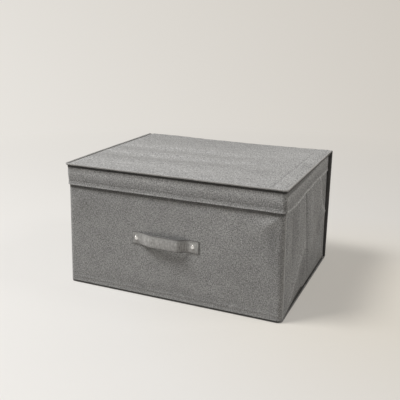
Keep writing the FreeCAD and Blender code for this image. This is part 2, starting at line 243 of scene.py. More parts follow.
def two_faced(name, outer, inner, places, painted_shading=None):
    """Cloth between two grids of points: both faces, and a strip from one to the other; only the outer face gets
    painted light and shade.
    """
    rows, columns = outer.shape[:2]
    count = rows * columns
    index = np.arange(count).reshape(rows, columns)
    border = np.concatenate([index[0, :-1], index[:-1, -1], index[-1, :0:-1], index[:0:-1, 0]])
    following = np.roll(border, -1)
    strip = np.stack([following, border, border + count, following + count], axis=1)
    flat = places.reshape(-1, 2)
    points = np.concatenate([outer.reshape(-1, 3), inner.reshape(-1, 3)])
    faces = np.concatenate([quads(index), quads(index + count)[:, ::-1], strip])
    if painted_shading is not None:
        painted_shading = np.concatenate([np.broadcast_to(painted_shading, (rows, columns)).ravel(), np.zeros(count)])
    return mesh_object(name, points, [faces], [flat[faces % count]], painted_shading)


def closed_round(name, points, places, ends="capped", painted_shading=None):
    """A grid whose rows run along the piece and close round; its ends are capped, or joined into a ring."""
    rows, columns = points.shape[:2]
    index = np.arange(rows * columns).reshape(rows, columns)
    around = np.hstack([index, index[:, :1]])
    if ends == "joined":  # the map goes on by one more step to the join, so the weave doesn't run back there
        around = np.vstack([around, around[:1]])
        places = np.vstack([places, places[:1] + (places[-1:] - places[-2:-1]) * [1, 0] + [places[-1, 0, 0], 0]])
    face_sets, map_sets = [quads(around)], [quads(places[:len(around)])]
    if ends == "capped":
        face_sets.append(np.stack([index[0], index[-1, ::-1]]))
        map_sets.append(np.stack([places[0, :-1], places[-1, -2::-1]]))
    return mesh_object(name, points.reshape(-1, 3), face_sets, map_sets, painted_shading if painted_shading is None else painted_shading.ravel())


print("builders ready")

# %% [markdown]
# ## Cloth, tape and metal
#
# The cover is a heathered weave: light and dark fibres are spun together, so the grey breaks up into short
# streaks along both threads and a soft mottle over them. Four noises on the cloth's own map make the colour,
# two sine waves make the threads' relief, and a little sheen gives the dusty edge that polyester has. The slubs
# run along one thread, so on the sides and on the lid the mottle is stretched towards the back. Light and shade
# are painted into the colour too: high folds get painted highlights and creases get painted shade, and the mesh
# carries that as a number per point that scales the colour. The darker tape has a fine rib, the lining is
# pressed fleece with small dots, and the rivets are polished.

# %% A short way to add nodes
def add(tree, kind, inputs=None, **settings):
    """Adds a shader node; an input's value is a plain value or the output that feeds it."""
    node = tree.nodes.new("ShaderNode" + kind)
    for key, value in settings.items():
        setattr(node, key, value)
    for key, value in (inputs or {}).items():
        if isinstance(value, bpy.types.NodeSocket):
            tree.links.new(value, node.inputs[key])
        else:
            node.inputs[key].default_value = value
    return node


def maths(tree, operation, first, second=0.0):
    """The output of one Math node on two numbers or outputs."""
    return add(tree, "Math", {0: first, 1: second}, operation=operation).outputs[0]


def between(tree, share, first, second):
    """Mixes two colours, each an (r, g, b) or an output, by a share from 0 to 1."""
    ends = [colour if isinstance(colour, bpy.types.NodeSocket) else (*colour, 1) for colour in (first, second)]
    return add(tree, "Mix", {"Factor": share, "A": ends[0], "B": ends[1]}, data_type="RGBA").outputs["Result"]


def set_bump(tree, shader, relief, distance, strength=0.8):
    """Feeds a height to the shader's normal."""
    bump = add(tree, "Bump", {"Height": relief, "Distance": distance, "Strength": strength})
    tree.links.new(bump.outputs[0], shader.inputs["Normal"])


def new_material(name, roughness, metallic=0.0, sheen=0.0):
    """A material with one Principled shader, whose plain numbers are set on its own sockets."""
    material = bpy.data.materials.new(name)
    material.use_nodes = True
    shader = material.node_tree.nodes["Principled BSDF"]
    settings = {"Roughness": roughness, "Metallic": metallic, "Sheen Weight": sheen, "Sheen Roughness": 0.5}
    for socket, value in settings.items():
        shader.inputs[socket].default_value = value
    return material, material.node_tree, shader


def noise_on(tree, place, scale, detail=3.0, rough=0.6):
    """Noise on the cloth's map, with its own scale along each thread."""
    stretched = add(tree, "VectorMath", {0: place, 1: scale}, operation="MULTIPLY").outputs[0]
    found = add(tree, "TexNoise", {"Vector": stretched, "Scale": 1.0, "Detail": detail, "Roughness": rough},
                noise_dimensions="2D")
    return found.outputs[0]


def weave_relief(tree, place, pitch):
    """sin(2 pi u / pitch) times sin(2 pi v / pitch): threads that stand up and dive by turns, both ways."""
    split = add(tree, "SeparateXYZ", {0: place})
    waves = [maths(tree, "SINE", maths(tree, "MULTIPLY", split.outputs[k], 2 * math.pi / pitch)) for k in (0, 1)]
    return maths(tree, "MULTIPLY", waves[0], waves[1])


print("node helpers ready")


# %% The heathered cover cloth
def heathered(name, dark, mid, light, pitch=0.9 * mm, relief=0.05 * mm, sheen=0.25, mottle=(480, 480)):
    """Clouds stretched by mottle, crossed streaks and a broad noise make a sum; its ramp colour times 1 + the point's
    painted light and shade.
    """
    material, tree, shader = new_material(name, 0.92, sheen=sheen)
    place = add(tree, "UVMap", uv_map="cloth").outputs[0]
    clouds = noise_on(tree, place, (*mottle, 1), 3.0, 0.8)
    along = noise_on(tree, place, (170, 1250, 1), 2.0)
    across = noise_on(tree, place, (1250, 170, 1), 2.0)
    broad = noise_on(tree, place, (40, 40, 1), 3.0)
    streaks = maths(tree, "ADD", maths(tree, "MULTIPLY", along, 0.22), maths(tree, "MULTIPLY", across, 0.22))
    blotches = maths(tree, "ADD", maths(tree, "MULTIPLY", clouds, 0.50), maths(tree, "MULTIPLY", broad, 0.06))
    total = maths(tree, "ADD", streaks, blotches)
    ramp = add(tree, "ValToRGB", {0: total})
    points = ramp.color_ramp.elements
    points[0].position, points[0].color = 0.38, (*dark, 1)
    points[1].position, points[1].color = 0.62, (*light, 1)
    middle = points.new(0.5)
    middle.color = (*mid, 1)
    # painted light and shade per point: 1 + this number scales the colour, up for painted highlights and down for
    # painted shade
    painted_shading = add(tree, "Attribute", attribute_name="painted_shading").outputs["Fac"]
    shaded_colour = add(tree, "VectorMath", {0: ramp.outputs[0]}, operation="SCALE")
    tree.links.new(maths(tree, "ADD", painted_shading, 1.0), shaded_colour.inputs["Scale"])
    tree.links.new(shaded_colour.outputs[0], shader.inputs["Base Color"])
    height_map = maths(tree, "ADD", weave_relief(tree, place, pitch), maths(tree, "MULTIPLY", streaks, 2.0))
    set_bump(tree, shader, height_map, relief)
    return material


def grey(level, warmth=0.0):
    """A grey with a little warmth: red up and blue down by that share."""
    return (level * (1 + warmth), level, level * (1 - 1.4 * warmth))


cover_shades = grey(0.10, -0.004), grey(0.275, -0.004), grey(0.53, -0.004)
cover_cloth = heathered("cover_cloth", *cover_shades, sheen=0.3)
# the sides' copy of the cover colours is cooler and a touch darker, painted to offset the warm lamps that light the
# sides
side_shades = grey(0.10, -0.018), grey(0.275, -0.018), grey(0.52, -0.018)
side_cloth_slubs = heathered("cover_cloth_sides", *side_shades, sheen=0.2, mottle=(150, 440))
lid_cloth_slubs = heathered("cover_cloth_lid", *cover_shades, sheen=0.3, mottle=(480, 120))
strap_cloth = heathered("strap_cloth", grey(0.24, 0.006), grey(0.37, 0.006), grey(0.52, 0.006), 0.8 * mm, 0.03 * mm)
cord_cloth = heathered("cord_cloth", grey(0.22, 0.006), grey(0.34, 0.006), grey(0.50, 0.006), 0.8 * mm, 0.04 * mm)
# the corner cords' cloth is about twice as pale as the cover: a painted highlight along the corner seams
seam_highlight_cloth = heathered("seam_highlight_cloth", grey(0.42, -0.01), grey(0.58, -0.01), grey(0.72, -0.01), 0.8 * mm, 0.04 * mm)
print("cover, strap and cord cloth mixed")


# %% Dark tape, lining, thread, greyboard and metal
def ribbed(name, dark, light, pitch, relief, sheen):
    """Tape: fine ribs sin(2 pi u / pitch) across it, and a faint streak along it."""
    material, tree, shader = new_material(name, 0.85, sheen=sheen)
    place = add(tree, "UVMap", uv_map="cloth").outputs[0]
    streak = noise_on(tree, place, (180, 900, 1), 3.0)
    tree.links.new(between(tree, streak, dark, light), shader.inputs["Base Color"])
    split = add(tree, "SeparateXYZ", {0: place})
    ribs = maths(tree, "SINE", maths(tree, "MULTIPLY", split.outputs[0], 2 * math.pi / pitch))
    set_bump(tree, shader, ribs, relief)
    return material


def fleece(name, dark, light):
    """Pressed lining: cloudy fibres, and dots 1.6 mm apart where the press held it."""
    material, tree, shader = new_material(name, 0.9, sheen=0.15)
    place = add(tree, "UVMap", uv_map="cloth").outputs[0]
    fibres = noise_on(tree, place, (700, 700, 1), 6.0, 0.75)
    tree.links.new(between(tree, fibres, dark, light), shader.inputs["Base Color"])
    dots = maths(tree, "MAXIMUM", weave_relief(tree, place, 1.6 * mm), 0.0)
    set_bump(tree, shader, maths(tree, "SUBTRACT", fibres, dots), 0.06 * mm)
    return material


def pressed_board(name):
    """Greyboard: waste-paper grey with flecks, on the piece's own place."""
    material, tree, shader = new_material(name, 0.95)
    place = add(tree, "TexCoord").outputs["Object"]
    flecks = add(tree, "TexNoise", {"Vector": place, "Scale": 900.0, "Detail": 5.0, "Roughness": 0.8}).outputs[0]
    ramp = add(tree, "ValToRGB", {0: flecks})
    ramp.color_ramp.elements[0].position, ramp.color_ramp.elements[0].color = 0.35, (*grey(0.22, 0.05), 1)
    ramp.color_ramp.elements[1].position, ramp.color_ramp.elements[1].color = 0.62, (*grey(0.42, 0.05), 1)
    tree.links.new(ramp.outputs[0], shader.inputs["Base Color"])
    set_bump(tree, shader, flecks, 0.1 * mm, 0.5)
    return material


def polished(name):
    """Nickel: bright metal whose roughness wanders with fine polishing marks."""
    material, tree, shader = new_material(name, 0.15, metallic=1.0)
    place = add(tree, "TexCoord").outputs["Object"]
    marks = add(tree, "TexNoise", {"Vector": place, "Scale": 2500.0, "Detail": 4.0}).outputs[0]
    wander = add(tree, "MapRange", {"Value": marks, "To Min": 0.1, "To Max": 0.26}).outputs[0]
    tree.links.new(wander, shader.inputs["Roughness"])
    tint = between(tree, marks, (0.70, 0.695, 0.68), (0.78, 0.775, 0.76))
    tree.links.new(tint, shader.inputs["Base Color"])
    return material


dark_tape = ribbed("dark_tape", grey(0.036, 0.01), grey(0.062, 0.01), 0.7 * mm, 0.04 * mm, 0.15)
edge_tape_cloth = ribbed("edge_tape_cloth", grey(0.10, 0.01), grey(0.155, 0.01), 0.7 * mm, 0.04 * mm, 0.15)
thread = ribbed("thread", grey(0.12, 0.01), grey(0.22, 0.01), 0.5 * mm, 0.05 * mm, 0.2)
lining_cloth = fleece("lining_cloth", grey(0.15, 0.01), grey(0.25, 0.01))
greyboard = pressed_board("greyboard")
rivet_metal = polished("rivet_metal")
print("materials:", len(bpy.data.materials))

# %% [markdown]
# ## Finishing a piece
#
# Every piece gets its material, the body that it moves with, and the frame's nodes that it stands for.

# %% One way to finish every piece
def finish(piece, material, slot, body, *stands_for):
    """Material, body and replaced nodes in one go; slot is not used."""
    piece.data.materials.clear()
    piece.data.materials.append(material)
    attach(piece, body)
    if stands_for:
        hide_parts(*stands_for)
    return piece


def say(*pieces_made):
    """Prints each piece's face count."""
    print(", ".join("%s %d faces" % (p.name, len(p.data.polygons)) for p in pieces_made))


# %% [markdown]
# ## The standing walls
#
# A number `u` walks round the walls: 0 is the middle of the front, 1 where a front corner starts to turn, 2
# where it ends, 3 the crease and 4 the back panel, with a minus sign on the left. A point needs only `u`, its
# height and how far out it is, and the same function serves the cover, the lining and the tapes.

# %% Walking round the walls
def lean(z):
    """total lean * (z - foot) / (rim - foot)."""
    return total_lean * (z - foot_z) / (rim_z - foot_z)


def front_y(z):
    """The front wall's y at height z: its foot's y + lean(z)."""
    return overhang - half_depth + lean(z)


def side_x(y, z):
    """Half width: straight from the front corner in to the crease, and from there on to the back panel."""
    slope = np.where(y < crease_y, front_slope, rear_slope)
    return half_width - overhang - lean(z) - crease_in + slope * (crease_y - y)


def wall(u, z, out):
    """(x, y, z) on the walls: a straight front, a quarter turn of corner_radius, and a straight side each way."""
    u, z, out = np.broadcast_arrays(np.asarray(u, float), z, out)
    side, walked = np.sign(u), np.abs(u)
    end_y = front_y(z) + corner_radius
    centre_x = side_x(end_y, z) - corner_radius
    angle = np.clip(walked - 1, 0, 1) * math.pi / 2
    back = np.where(walked < 3, end_y + (crease_y - end_y) * (walked - 2), crease_y + rear_run * (walked - 3))
    turned_x = np.clip(walked, 0, 1) * centre_x + (corner_radius + out) * np.sin(angle)
    turned_y = end_y - (corner_radius + out) * np.cos(angle)
    x = np.where(walked <= 2, turned_x, side_x(back, z) + out)
    return np.stack([side * x, np.where(walked <= 2, turned_y, back), z], axis=-1)


def along(u):
    """Metres of cloth from the middle of the front to u, at half height."""
    walked = np.abs(u)
    flat_front = half_width - overhang - lean(height / 2) - corner_radius
    reached = np.cumsum([0, flat_front, corner_radius * math.pi / 2, front_run, rear_run])
    return np.sign(u) * np.interp(walked, [0, 1, 2, 3, 4], reached)


def seam_u(z, offset):
    """The u of a line that runs offset behind the end of the front corner."""
    return 2 + offset / (crease_y - front_y(z) - corner_radius)


print("front corner at", np.round(wall(2.0, 0.1, 0.0) / mm, 1), "mm")


# %% Laying cloth on the walls
def wall_cloth(name, u, z, out, thickness, painted_shading=None):
    """Cloth whose outer face stands `out` from the wall, on a grid of u and z."""
    return two_faced(name, wall(u, z, out), wall(u, z, out - thickness), as_points(along(u), z), painted_shading)


def graded(*runs):
    """Even steps within each run (start, end, number of steps), with no point doubled."""
    parts = [np.linspace(a, b, n, endpoint=False) for a, b, n in runs]
    return np.concatenate(parts + [[runs[-1][1]]])


print("wall cloth ready")

# %% [markdown]
# ## The front cover
#
# The front is the calmest wall. The board behind it keeps it flat, so the cloth only swells a little between
# its seams, shows the tape's edge along the bottom, and puffs out under the lid where the rim pulls it in near
# the corners. The lid's skirt hangs close in front of its top, so all relief ends below the skirt. A table of
# pale and dark spots paints highlights and shade into its colour, where the light catches the swells and the
# corner turns away, and painted shade darkens the wall behind the skirt and just under its hem.

# %% Front cover
def below_skirt(z, hem=front_hem_z):
    """1 on the open wall and 0 behind the lid's skirt."""
    return 1 - step(z, hem - 26 * mm, hem - 4 * mm)


def front_x(u):
    """x on the flat front for u, flat_half where the corners start to turn."""
    return np.sign(u) * np.minimum(np.abs(u), 1) * flat_half


def front_relief(u, z):
    """Crown + a fold pulled from the corner + puffs + the tape's edge + a rolled hem + unrest."""
    x = front_x(u)
    inside = 1 - step(np.abs(u), 0.96, 1.08)
    crown = 0.9 * mm * (1 - (x / half_width) ** 4) * step(z, 0.01, 0.09) * below_skirt(z)
    pull_x, pull_z = 219 * mm, 203 * mm
    reach = np.hypot(x - pull_x, z - pull_z)
    bearing = np.arctan2(pull_z - z, pull_x - x)
    pulled = 1.9 * mm * np.exp(-((bearing - 0.62) / 0.33) ** 2)
    pulled = pulled * step(reach, 0, 26 * mm) * (1 - step(reach, 28 * mm, 74 * mm))
    puffs = (pulled + 0.8 * mm * swell(x, z, (176 * mm, 170 * mm), (24 * mm, 22 * mm))) * below_skirt(z, 222 * mm)
    puffs = puffs + 0.9 * mm * swell(x, z, (-190 * mm, 176 * mm), (22 * mm, 20 * mm)) * below_skirt(z, 214 * mm)
    tape_edge = 0.45 * mm * swell(0, z, (0, 15 * mm), (1, 2.2 * mm))
    hem = 0.45 * mm * (1 - step(z, foot_hem + 1 * mm, foot_hem + 4 * mm))
    ruffle = 0.2 * mm * unrest(x, z, 75 * mm, 11) * step(z, 0.01, 0.04) * below_skirt(z)
    return (crown + puffs + ruffle) * inside + (tape_edge + hem) * (0.3 + 0.7 * inside)


u = graded((-2, -1, 14), (-1, 1, 170), (1, 2, 14))[None, :]
z = graded((foot_hem, 20 * mm, 14), (20 * mm, cloth_top, 96))[:, None]
front_spots = [  # painted light and shade, x, z, half width, half height
    (0.10, 0, 47, 140, 18),
    (-0.12, -40, 22, 160, 7),
    (0.25, 192, 188, 22, 9),
    (-0.22, 200, 152, 10, 32),
    (0.12, 120, 175, 70, 45),
    (0.14, 0, 125, 110, 50),
    (-0.09, -180, 175, 90, 50),
]
# painted highlights and painted shade from the table
painted_light_map = spots(front_x(u), z, front_spots)
# painted shade on the wall behind the skirt and just under its hem, except at the very middle
painted_light_map = painted_light_map - 0.5 * step(z, 199.5 * mm, 201.5 * mm) * step(np.abs(u), 0.0, 0.01)
front_cover = wall_cloth("front_cloth", u, z, front_relief(u, z), cloth, painted_light_map)
finish(front_cover, cover_cloth, "cover_cloth", "box", "front_cover")
say(front_cover)

# %% [markdown]
# ## The side gussets
#
# The side walls fold inwards when the box is stored, so their boards are split and the cloth is looser: it dips
# sharply into the crease, swells on both sides of it, and keeps soft diagonal folds from having been packed
# flat. Each fold follows a line of a few points. Its painted light and shade come from the same relief: high
# places, the folds and the rear seam get painted highlights, and the line behind the crease's lip gets painted
# shade. The lower hem rises in front of the crease and lets the tape show.

# %% Side covers
def crease_at(z):
    """The visible crease wanders back towards the floor: y = -18 mm + 0.17 (201 mm - z)."""
    return -18 * mm + 0.17 * (201 * mm - z)


def side_relief(y, z, seed):
    """The cloth's height: a plateau, hollows, the crease's drop, folds, the rear flap's arc; and its painted light and
    shade.
    """
    open_wall = below_skirt(z, 214 * mm)
    foot = step(z, 6 * mm, 30 * mm)
    behind = y - crease_at(z)
    high = step(z, 26 * mm, 84 * mm)
    drop = step(behind, -1.4 * mm, 0.5 * mm)
    groove = -1.4 * mm * drop * (1 - step(behind, 0.8 * mm, 24 * mm)) * (0.35 + 0.65 * high)
    swells = 0.9 * mm * ridge(behind + 9 * mm, 9 * mm) + 1.3 * mm * ridge(behind - 42 * mm, 18 * mm) * high
    # each hollow: depth, y, z, half length, half height
    hollows = mm * spots(y, z, [(-2.4, -101, 168, 24, 52), (-2.0, -24, 42, 30, 24), (-1.2, 100, 104, 22, 34)])
    arc_y = mm * np.interp(z / mm, [104, 109, 122, 141, 164, 201], [186, 172, 146, 124, 115, 105])
    arc = near_line(y, z, [(102, 214), (106, 200), (115, 164), (124, 141), (147, 122), (172, 108)], 7 * mm)
    flap = -1.6 * mm * step(y, arc_y + 3 * mm, arc_y + 14 * mm) * step(z, 106 * mm, 118 * mm)
    long_fold = near_line(y, z, [(-22, 103), (-51, 82), (-96, 52), (-141, 17)], 11 * mm)
    rear_fold = near_line(y, z, [(60, 106), (88, 68), (130, 38)], 10 * mm)
    folds = 3.0 * mm * long_fold + 2.2 * mm * arc + 1.5 * mm * rear_fold
    folds = folds + 1.1 * mm * near_line(y, z, [(-70, 196), (-66, 120)], 10 * mm)
    folds = folds + 0.9 * mm * near_line(y, z, [(-118, 64), (-140, 44)], 6 * mm)
    ruffle = 0.4 * mm * unrest(y, 0.6 * z, 46 * mm, seed) + 0.2 * mm * unrest(y, z, 17 * mm, seed + 1)
    near_seams = step(y, -163 * mm, -150 * mm) * (1 - step(y, 157 * mm, 167 * mm))
    body = (groove + swells + hollows + folds + flap + ruffle) * foot * open_wall * near_seams
    hem = 0.5 * mm * (1 - step(z, 10 * mm, 15 * mm))
    rear_seam = 1.3 * mm * ridge(y - rear_seam_y, 1.6 * mm) * open_wall
    height = np.maximum(2.0 * mm * foot * open_wall * near_seams + body + hem + rear_seam, -0.6 * mm)
    # painted shade along the crease, just behind its lip
    crease_shade = ridge(behind - 4.0 * mm, 4.0 * mm) * (0.25 + 0.75 * high) * foot
    # painted highlights on high places and on the rear seam, painted shade in hollows and along the crease
    painted_shading = np.clip(0.12 * (body - groove) / mm, -0.36, 0.30) - 0.8 * crease_shade + 0.4 * ridge(y - rear_seam_y, 2.4 * mm)
    # painted highlights on the arc and on the long fold
    painted_shading = painted_shading + 0.28 * arc * step(z, 106 * mm, 125 * mm) + 0.14 * long_fold
    return height, painted_shading


def side_cloth(name, side, seed):
    """Columns from the front seam to the back panel; the lowest row follows the lifted hem's arc."""
    walked = graded((0, 0.8, 60), (0.8, 1.2, 70), (1.2, 2, 60))[None, :] + 2
    rise = graded((0, 0.08, 12), (0.08, 1, 100))[:, None]
    at_hem = wall(side * walked, hem_z, 0.0)[..., 1]
    start = at_hem[0, 0]
    share = np.clip((at_hem - start) / (crease_y - start), 0, 1)
    foot = foot_hem + 1.2 * mm + 6.4 * mm * step(share, 0.0, 0.62) * (1 - step(share, 0.9, 1.0))
    z = foot + (cloth_top - foot) * rise
    begin = seam_u(z, 2 * seam_radius)
    u = side * (begin + (walked - 2) * (4 - begin) / 2)
    y = wall(u, z, 0.0)[..., 1]
    height, painted_shading = side_relief(y, z, seed)
    return wall_cloth(name, u, z, height, cloth, painted_shading)


right_cover = finish(side_cloth("right_cloth", 1, 21), side_cloth_slubs, "cover_cloth", "box", "right_cover")
left_cover = finish(side_cloth("left_cloth", -1, 33), side_cloth_slubs, "cover_cloth", "box", "left_cover")
say(right_cover, left_cover)

# %% [markdown]
# ## Cords and seams
#
# A round cord is a circle carried along a path. The corner seams have a cord inside the cloth that shows as a
# thin light line, painted paler than the cover as a painted highlight; the piping is a thicker one, and the foot
# of the box has another on which it stands.

# %% Cords
def cord(name, path, radius, sides=10, up=(0, 0, 1), ends="capped", tall=1.0):
    """Rings c + r (cos a n + tall sin a b) round the path's points c, with n = up x tangent and b = tangent x n."""
    if ends == "joined":
        tangent = np.roll(path, -1, axis=0) - np.roll(path, 1, axis=0)
    else:
        tangent = np.gradient(path, axis=0)
    tangent /= np.linalg.norm(tangent, axis=1, keepdims=True)
    across = np.cross(np.broadcast_to(np.asarray(up, float), tangent.shape), tangent)
    across /= np.linalg.norm(across, axis=1, keepdims=True)
    over = np.cross(tangent, across)
    angle = np.linspace(0, 2 * math.pi, sides, endpoint=False)
    radius = np.broadcast_to(radius, len(path))[:, None, None]
    circle = across[:, None] * np.cos(angle)[None, :, None] + over[:, None] * tall * np.sin(angle)[None, :, None]
    girth = np.linspace(0, 2 * math.pi, sides + 1) * float(radius.mean())
    return closed_round(name, path[:, None] + radius * circle, as_points(walked_length(path)[:, None], girth), ends)


def seam_cord(name, side):
    """Cord up the line just behind the front corner, on the cover's face."""
    z = np.linspace(hem_z, rim_z - tape_reach, 120)
    u = side * seam_u(z, seam_radius)
    sway = 0.12 * mm * unrest(z, 0.0, 30 * mm, 5 + side)
    return cord(name, wall(u, z, 0.2 * mm + sway), seam_radius * 1.35, up=(0, 1, 0))


corner_seams = [finish(seam_cord("corner_cord_" + name, side), seam_highlight_cloth, "cover_cloth", "box", "corner_seam_" + name)
                for name, side in (("left", -1), ("right", 1))]
say(*corner_seams)


# %% Piping round the foot
def rounded_path(half_x, front, rear, front_radius, rear_radius, z, gap=4 * mm):
    """Closed outline: straight runs and quarter circles, sampled about every gap."""
    corners = [(-1, front, front_radius), (1, front, front_radius), (1, rear, rear_radius), (-1, rear, rear_radius)]
    starts = [math.pi, 1.5 * math.pi, 0, 0.5 * math.pi]
    points = []
    for (side, y, radius), start in zip(corners, starts):
        angle = np.linspace(start, start + math.pi / 2, 9)
        centre = np.array([side * (half_x - radius), y + radius * (1 if y < 0 else -1)])
        points.append(centre + radius * np.stack([np.cos(angle), np.sin(angle)], axis=1))
    closed = np.concatenate(points + [points[0][:1]])
    run = walked_length(closed)
    runs = [np.linspace(a, b, max(2, int((b - a) / gap) + 1), endpoint=False) for a, b in zip(run, run[1:])]
    even = np.concatenate(runs)
    flat = np.stack([np.interp(even, run, closed[:, k]) for k in (0, 1)], axis=1)
    return np.column_stack([flat, np.full(len(flat), z)])


foot_radius, foot_inset, foot_front_corner, foot_rear_corner = 1.6 * mm, 1.7 * mm, 7.8 * mm, 2.4 * mm
foot_path = rounded_path(half_width - foot_radius, -half_depth + foot_radius + foot_inset, half_depth - foot_radius,
                         foot_front_corner, foot_rear_corner, 0.4 * mm + foot_radius)
foot_path[:, 2] += 0.1 * mm * unrest(foot_path[:, 0], foot_path[:, 1], 40 * mm, 7)
foot_piping = cord("foot_piping", foot_path, foot_radius, 12, ends="joined")
finish(foot_piping, cover_cloth, "cover_cloth", "box", "base_piping")
say(foot_piping)

# %% [markdown]
# ## Tapes and linings of the walls
#
# A tape is a thin closed profile carried round the walls or up the back panel's edges. The rim tape is folded
# over all three walls. The base tape sits behind the hems and joins the walls to the base cloth, and it is the
# dark line that shows above the piping.

# %% Tapes that follow the walls
def map_round(run, profile):
    """The map of a carried profile: the length of the run one way, and the way round the closed profile the other."""
    return as_points(run[:, None], walked_length(np.vstack([profile, profile[:1]])))


def carried(name, profile, u):
    """A closed profile of (out, z) pairs carried round the walls along u, with its ends capped."""
    return closed_round(name, wall(u[:, None], profile[:, 1], profile[:, 0]), map_round(along(u), profile))


def folded_over(half, drop, thickness, top, centre, sides=8):
    """Profile of tape folded over an edge: down the outside, and back inside it, with round corners on top."""
    arc = np.linspace(0, math.pi / 2, sides)
    radius = 0.9 * mm
    right = np.stack([centre + half - radius + radius * np.cos(arc), top - radius + radius * np.sin(arc)], axis=1)
    left = right[::-1] * [-1, 1] + [2 * centre, 0]
    inner = 0.45 * mm
    inner_top = top - thickness
    inside = np.array([
        [centre - half + thickness, top - drop], [centre - half + thickness, inner_top - inner],
        [centre - half + thickness + inner, inner_top], [centre + half - thickness - inner, inner_top],
        [centre + half - thickness, inner_top - inner], [centre + half - thickness, top - drop],
    ])
    return np.vstack([[[centre + half, top - drop]], right, left, [[centre - half, top - drop]], inside])


round_walls = graded((-4, -3, 40), (-3, -2, 30), (-2, -1, 12), (-1, 1, 90), (1, 2, 12), (2, 3, 30), (3, 4, 40))
rim_profile = folded_over(wall_thickness / 2 + tape, tape_reach, tape, rim_z, -wall_thickness / 2)
rim_tape = finish(carried("rim_tape", rim_profile, round_walls), dark_tape, "dark_tape", "box", "rim_binding")
base_profile = np.array([[-0.7, 1.0], [-0.8, 9], [-0.8, 15], [-1.4, 15], [-1.4, 9], [-1.4, 1.0]]) * mm
base_tape = finish(carried("base_tape", base_profile, round_walls), dark_tape, "dark_tape", "box", "base_binding")
say(rim_tape, base_tape)


# %% Linings of the three walls
def lining_relief(u, z, seed):
    """The lining only puckers a little, inwards, and lies still under the rim tape."""
    reach = along(u)
    loose = step(z, 8 * mm, 40 * mm) * (1 - step(z, 205 * mm, 228 * mm))
    ends = np.abs(np.abs(u) - 2)
    return -0.14 * mm * (1 + unrest(reach, z, 55 * mm, seed)) * loose * step(ends, 0.0, 0.08) * (np.abs(u) < 3.9)


def wall_lining(side, u, seed):
    """One wall's lining: still where it meets the board, and lining_relief on the face that shows."""
    z = np.linspace(1.1 * mm, cloth_top, 60)[:, None]
    inner = wall(u, z, lining_relief(u, z, seed) - wall_thickness)
    made = two_faced(side + "_inner_cloth", wall(u, z, -lining_inset), inner, as_points(along(u), z))
    return finish(made, lining_cloth, "lining_cloth", "box", side + "_lining")


front_walk, side_walk = graded((-2, -1, 10), (-1, 1, 90), (1, 2, 10)), graded((2, 3, 40), (3, 4, 46))
linings = [wall_lining(side, walk, seed)
           for side, walk, seed in (("front", front_walk, 41), ("right", side_walk, 42), ("left", -side_walk, 43))]
say(*linings)

# %% [markdown]
# ## The back panel
#
# The back is one flat board in cloth. It stands a little wider than the walls, and dark tape is folded round
# its upright edges: from the front, that tape is the dark band beside the right wall. Under the weight of the
# lid its top edge has bowed down slightly in the middle, and the lid follows it.

# %% Back panel
def sag(x, y):
    """How far the lid hangs: nothing over the walls, and most in the middle of the rear edge."""
    across = np.clip(1 - (np.abs(x) / flat_half) ** 2.2, 0, 1)
    return 2.6 * mm * across * step(y, -160 * mm, 150 * mm)


def panel_cloth(name, outer_y, inner_y, margin, relief, seed):
    """Cloth between two depths, from the foot to the bowed top edge."""
    x = np.linspace(margin - half_width, half_width - margin, 110)[None, :]
    rise = np.linspace(0, 1, 60)[:, None]
    z = panel_low + (panel_top - sag(x, half_depth) - panel_low) * rise
    calm = step(half_width - np.abs(x), 8 * mm, 24 * mm) * np.sin(math.pi * np.clip(rise * 1.06 - 0.03, 0, 1)) ** 0.5
    bulge = relief * calm * (1 + 0.6 * unrest(x, z, 70 * mm, seed))
    towards = math.copysign(1, outer_y - inner_y)
    return two_faced(name, as_points(x, outer_y + towards * bulge, z), as_points(x, inner_y, z), as_points(x, z))


cover_y, board_rear_y, board_front_y, lining_y = 174.5 * mm, 173.7 * mm, 171.3 * mm, 170.7 * mm
back_cover = finish(panel_cloth("back_cloth", cover_y, board_rear_y, tape, 0.35 * mm, 51),
                    cover_cloth, "cover_cloth", "box", "back_cover")
back_board = finish(panel_cloth("back_stiffener", board_rear_y, board_front_y, tape, 0.0, 52),
                    greyboard, "greyboard", "box", "back_board")
back_lining = finish(panel_cloth("back_inner_cloth", lining_y, board_front_y, tape, 0.25 * mm, 53),
                     lining_cloth, "lining_cloth", "box", "back_lining")
say(back_cover, back_board, back_lining)


# %% Dark tape on the back panel's upright edges
def edge_tape(name, side):
    """Profile folded round the panel's edge in plan, carried up from the foot to the top."""
    fold_profile = folded_over((half_depth - rear_y) / 2, tape_reach, tape, half_width, (half_depth + rear_y) / 2)
    z = np.linspace(panel_low, panel_top, 80)
    depth, x = fold_profile.T
    sway = 0.15 * mm * unrest(z, 0.0, 45 * mm, 61 + side)[:, None] * (x < half_width - 5 * mm)
    return closed_round(name, as_points(side * (x + sway), depth, z[:, None]), map_round(z, fold_profile))


edge_tapes = [finish(edge_tape("edge_tape_" + name, side), edge_tape_cloth, "dark_tape", "box", "back_binding_" + name)
              for name, side in (("left", -1), ("right", 1))]
say(*edge_tapes)

# %% [markdown]
# ## The base
#
# The base cloth lies on the floor inside the piping, and on it lies the loose board, wrapped all round in
# lining. The board's edges are soft, because the cloth is pulled round a board with square corners.

# %% Base cloth and the loose board's cover
def plate_points(x_reach, y_rows, columns, radius, front):
    """Rows across a plate whose front corners, and rear ones if front is False, are quarter circles."""
    low, high = y_rows[0], y_rows[-1]
    depth = np.minimum(y_rows - low, np.inf if front else high - y_rows)
    lack = np.clip(radius - depth, 0, radius)
    reach = x_reach - radius + np.sqrt(np.maximum(radius ** 2 - lack ** 2, 0))
    x = reach[:, None] * np.linspace(-1, 1, columns)[None, :]
    return x, np.broadcast_to(y_rows[:, None], x.shape)


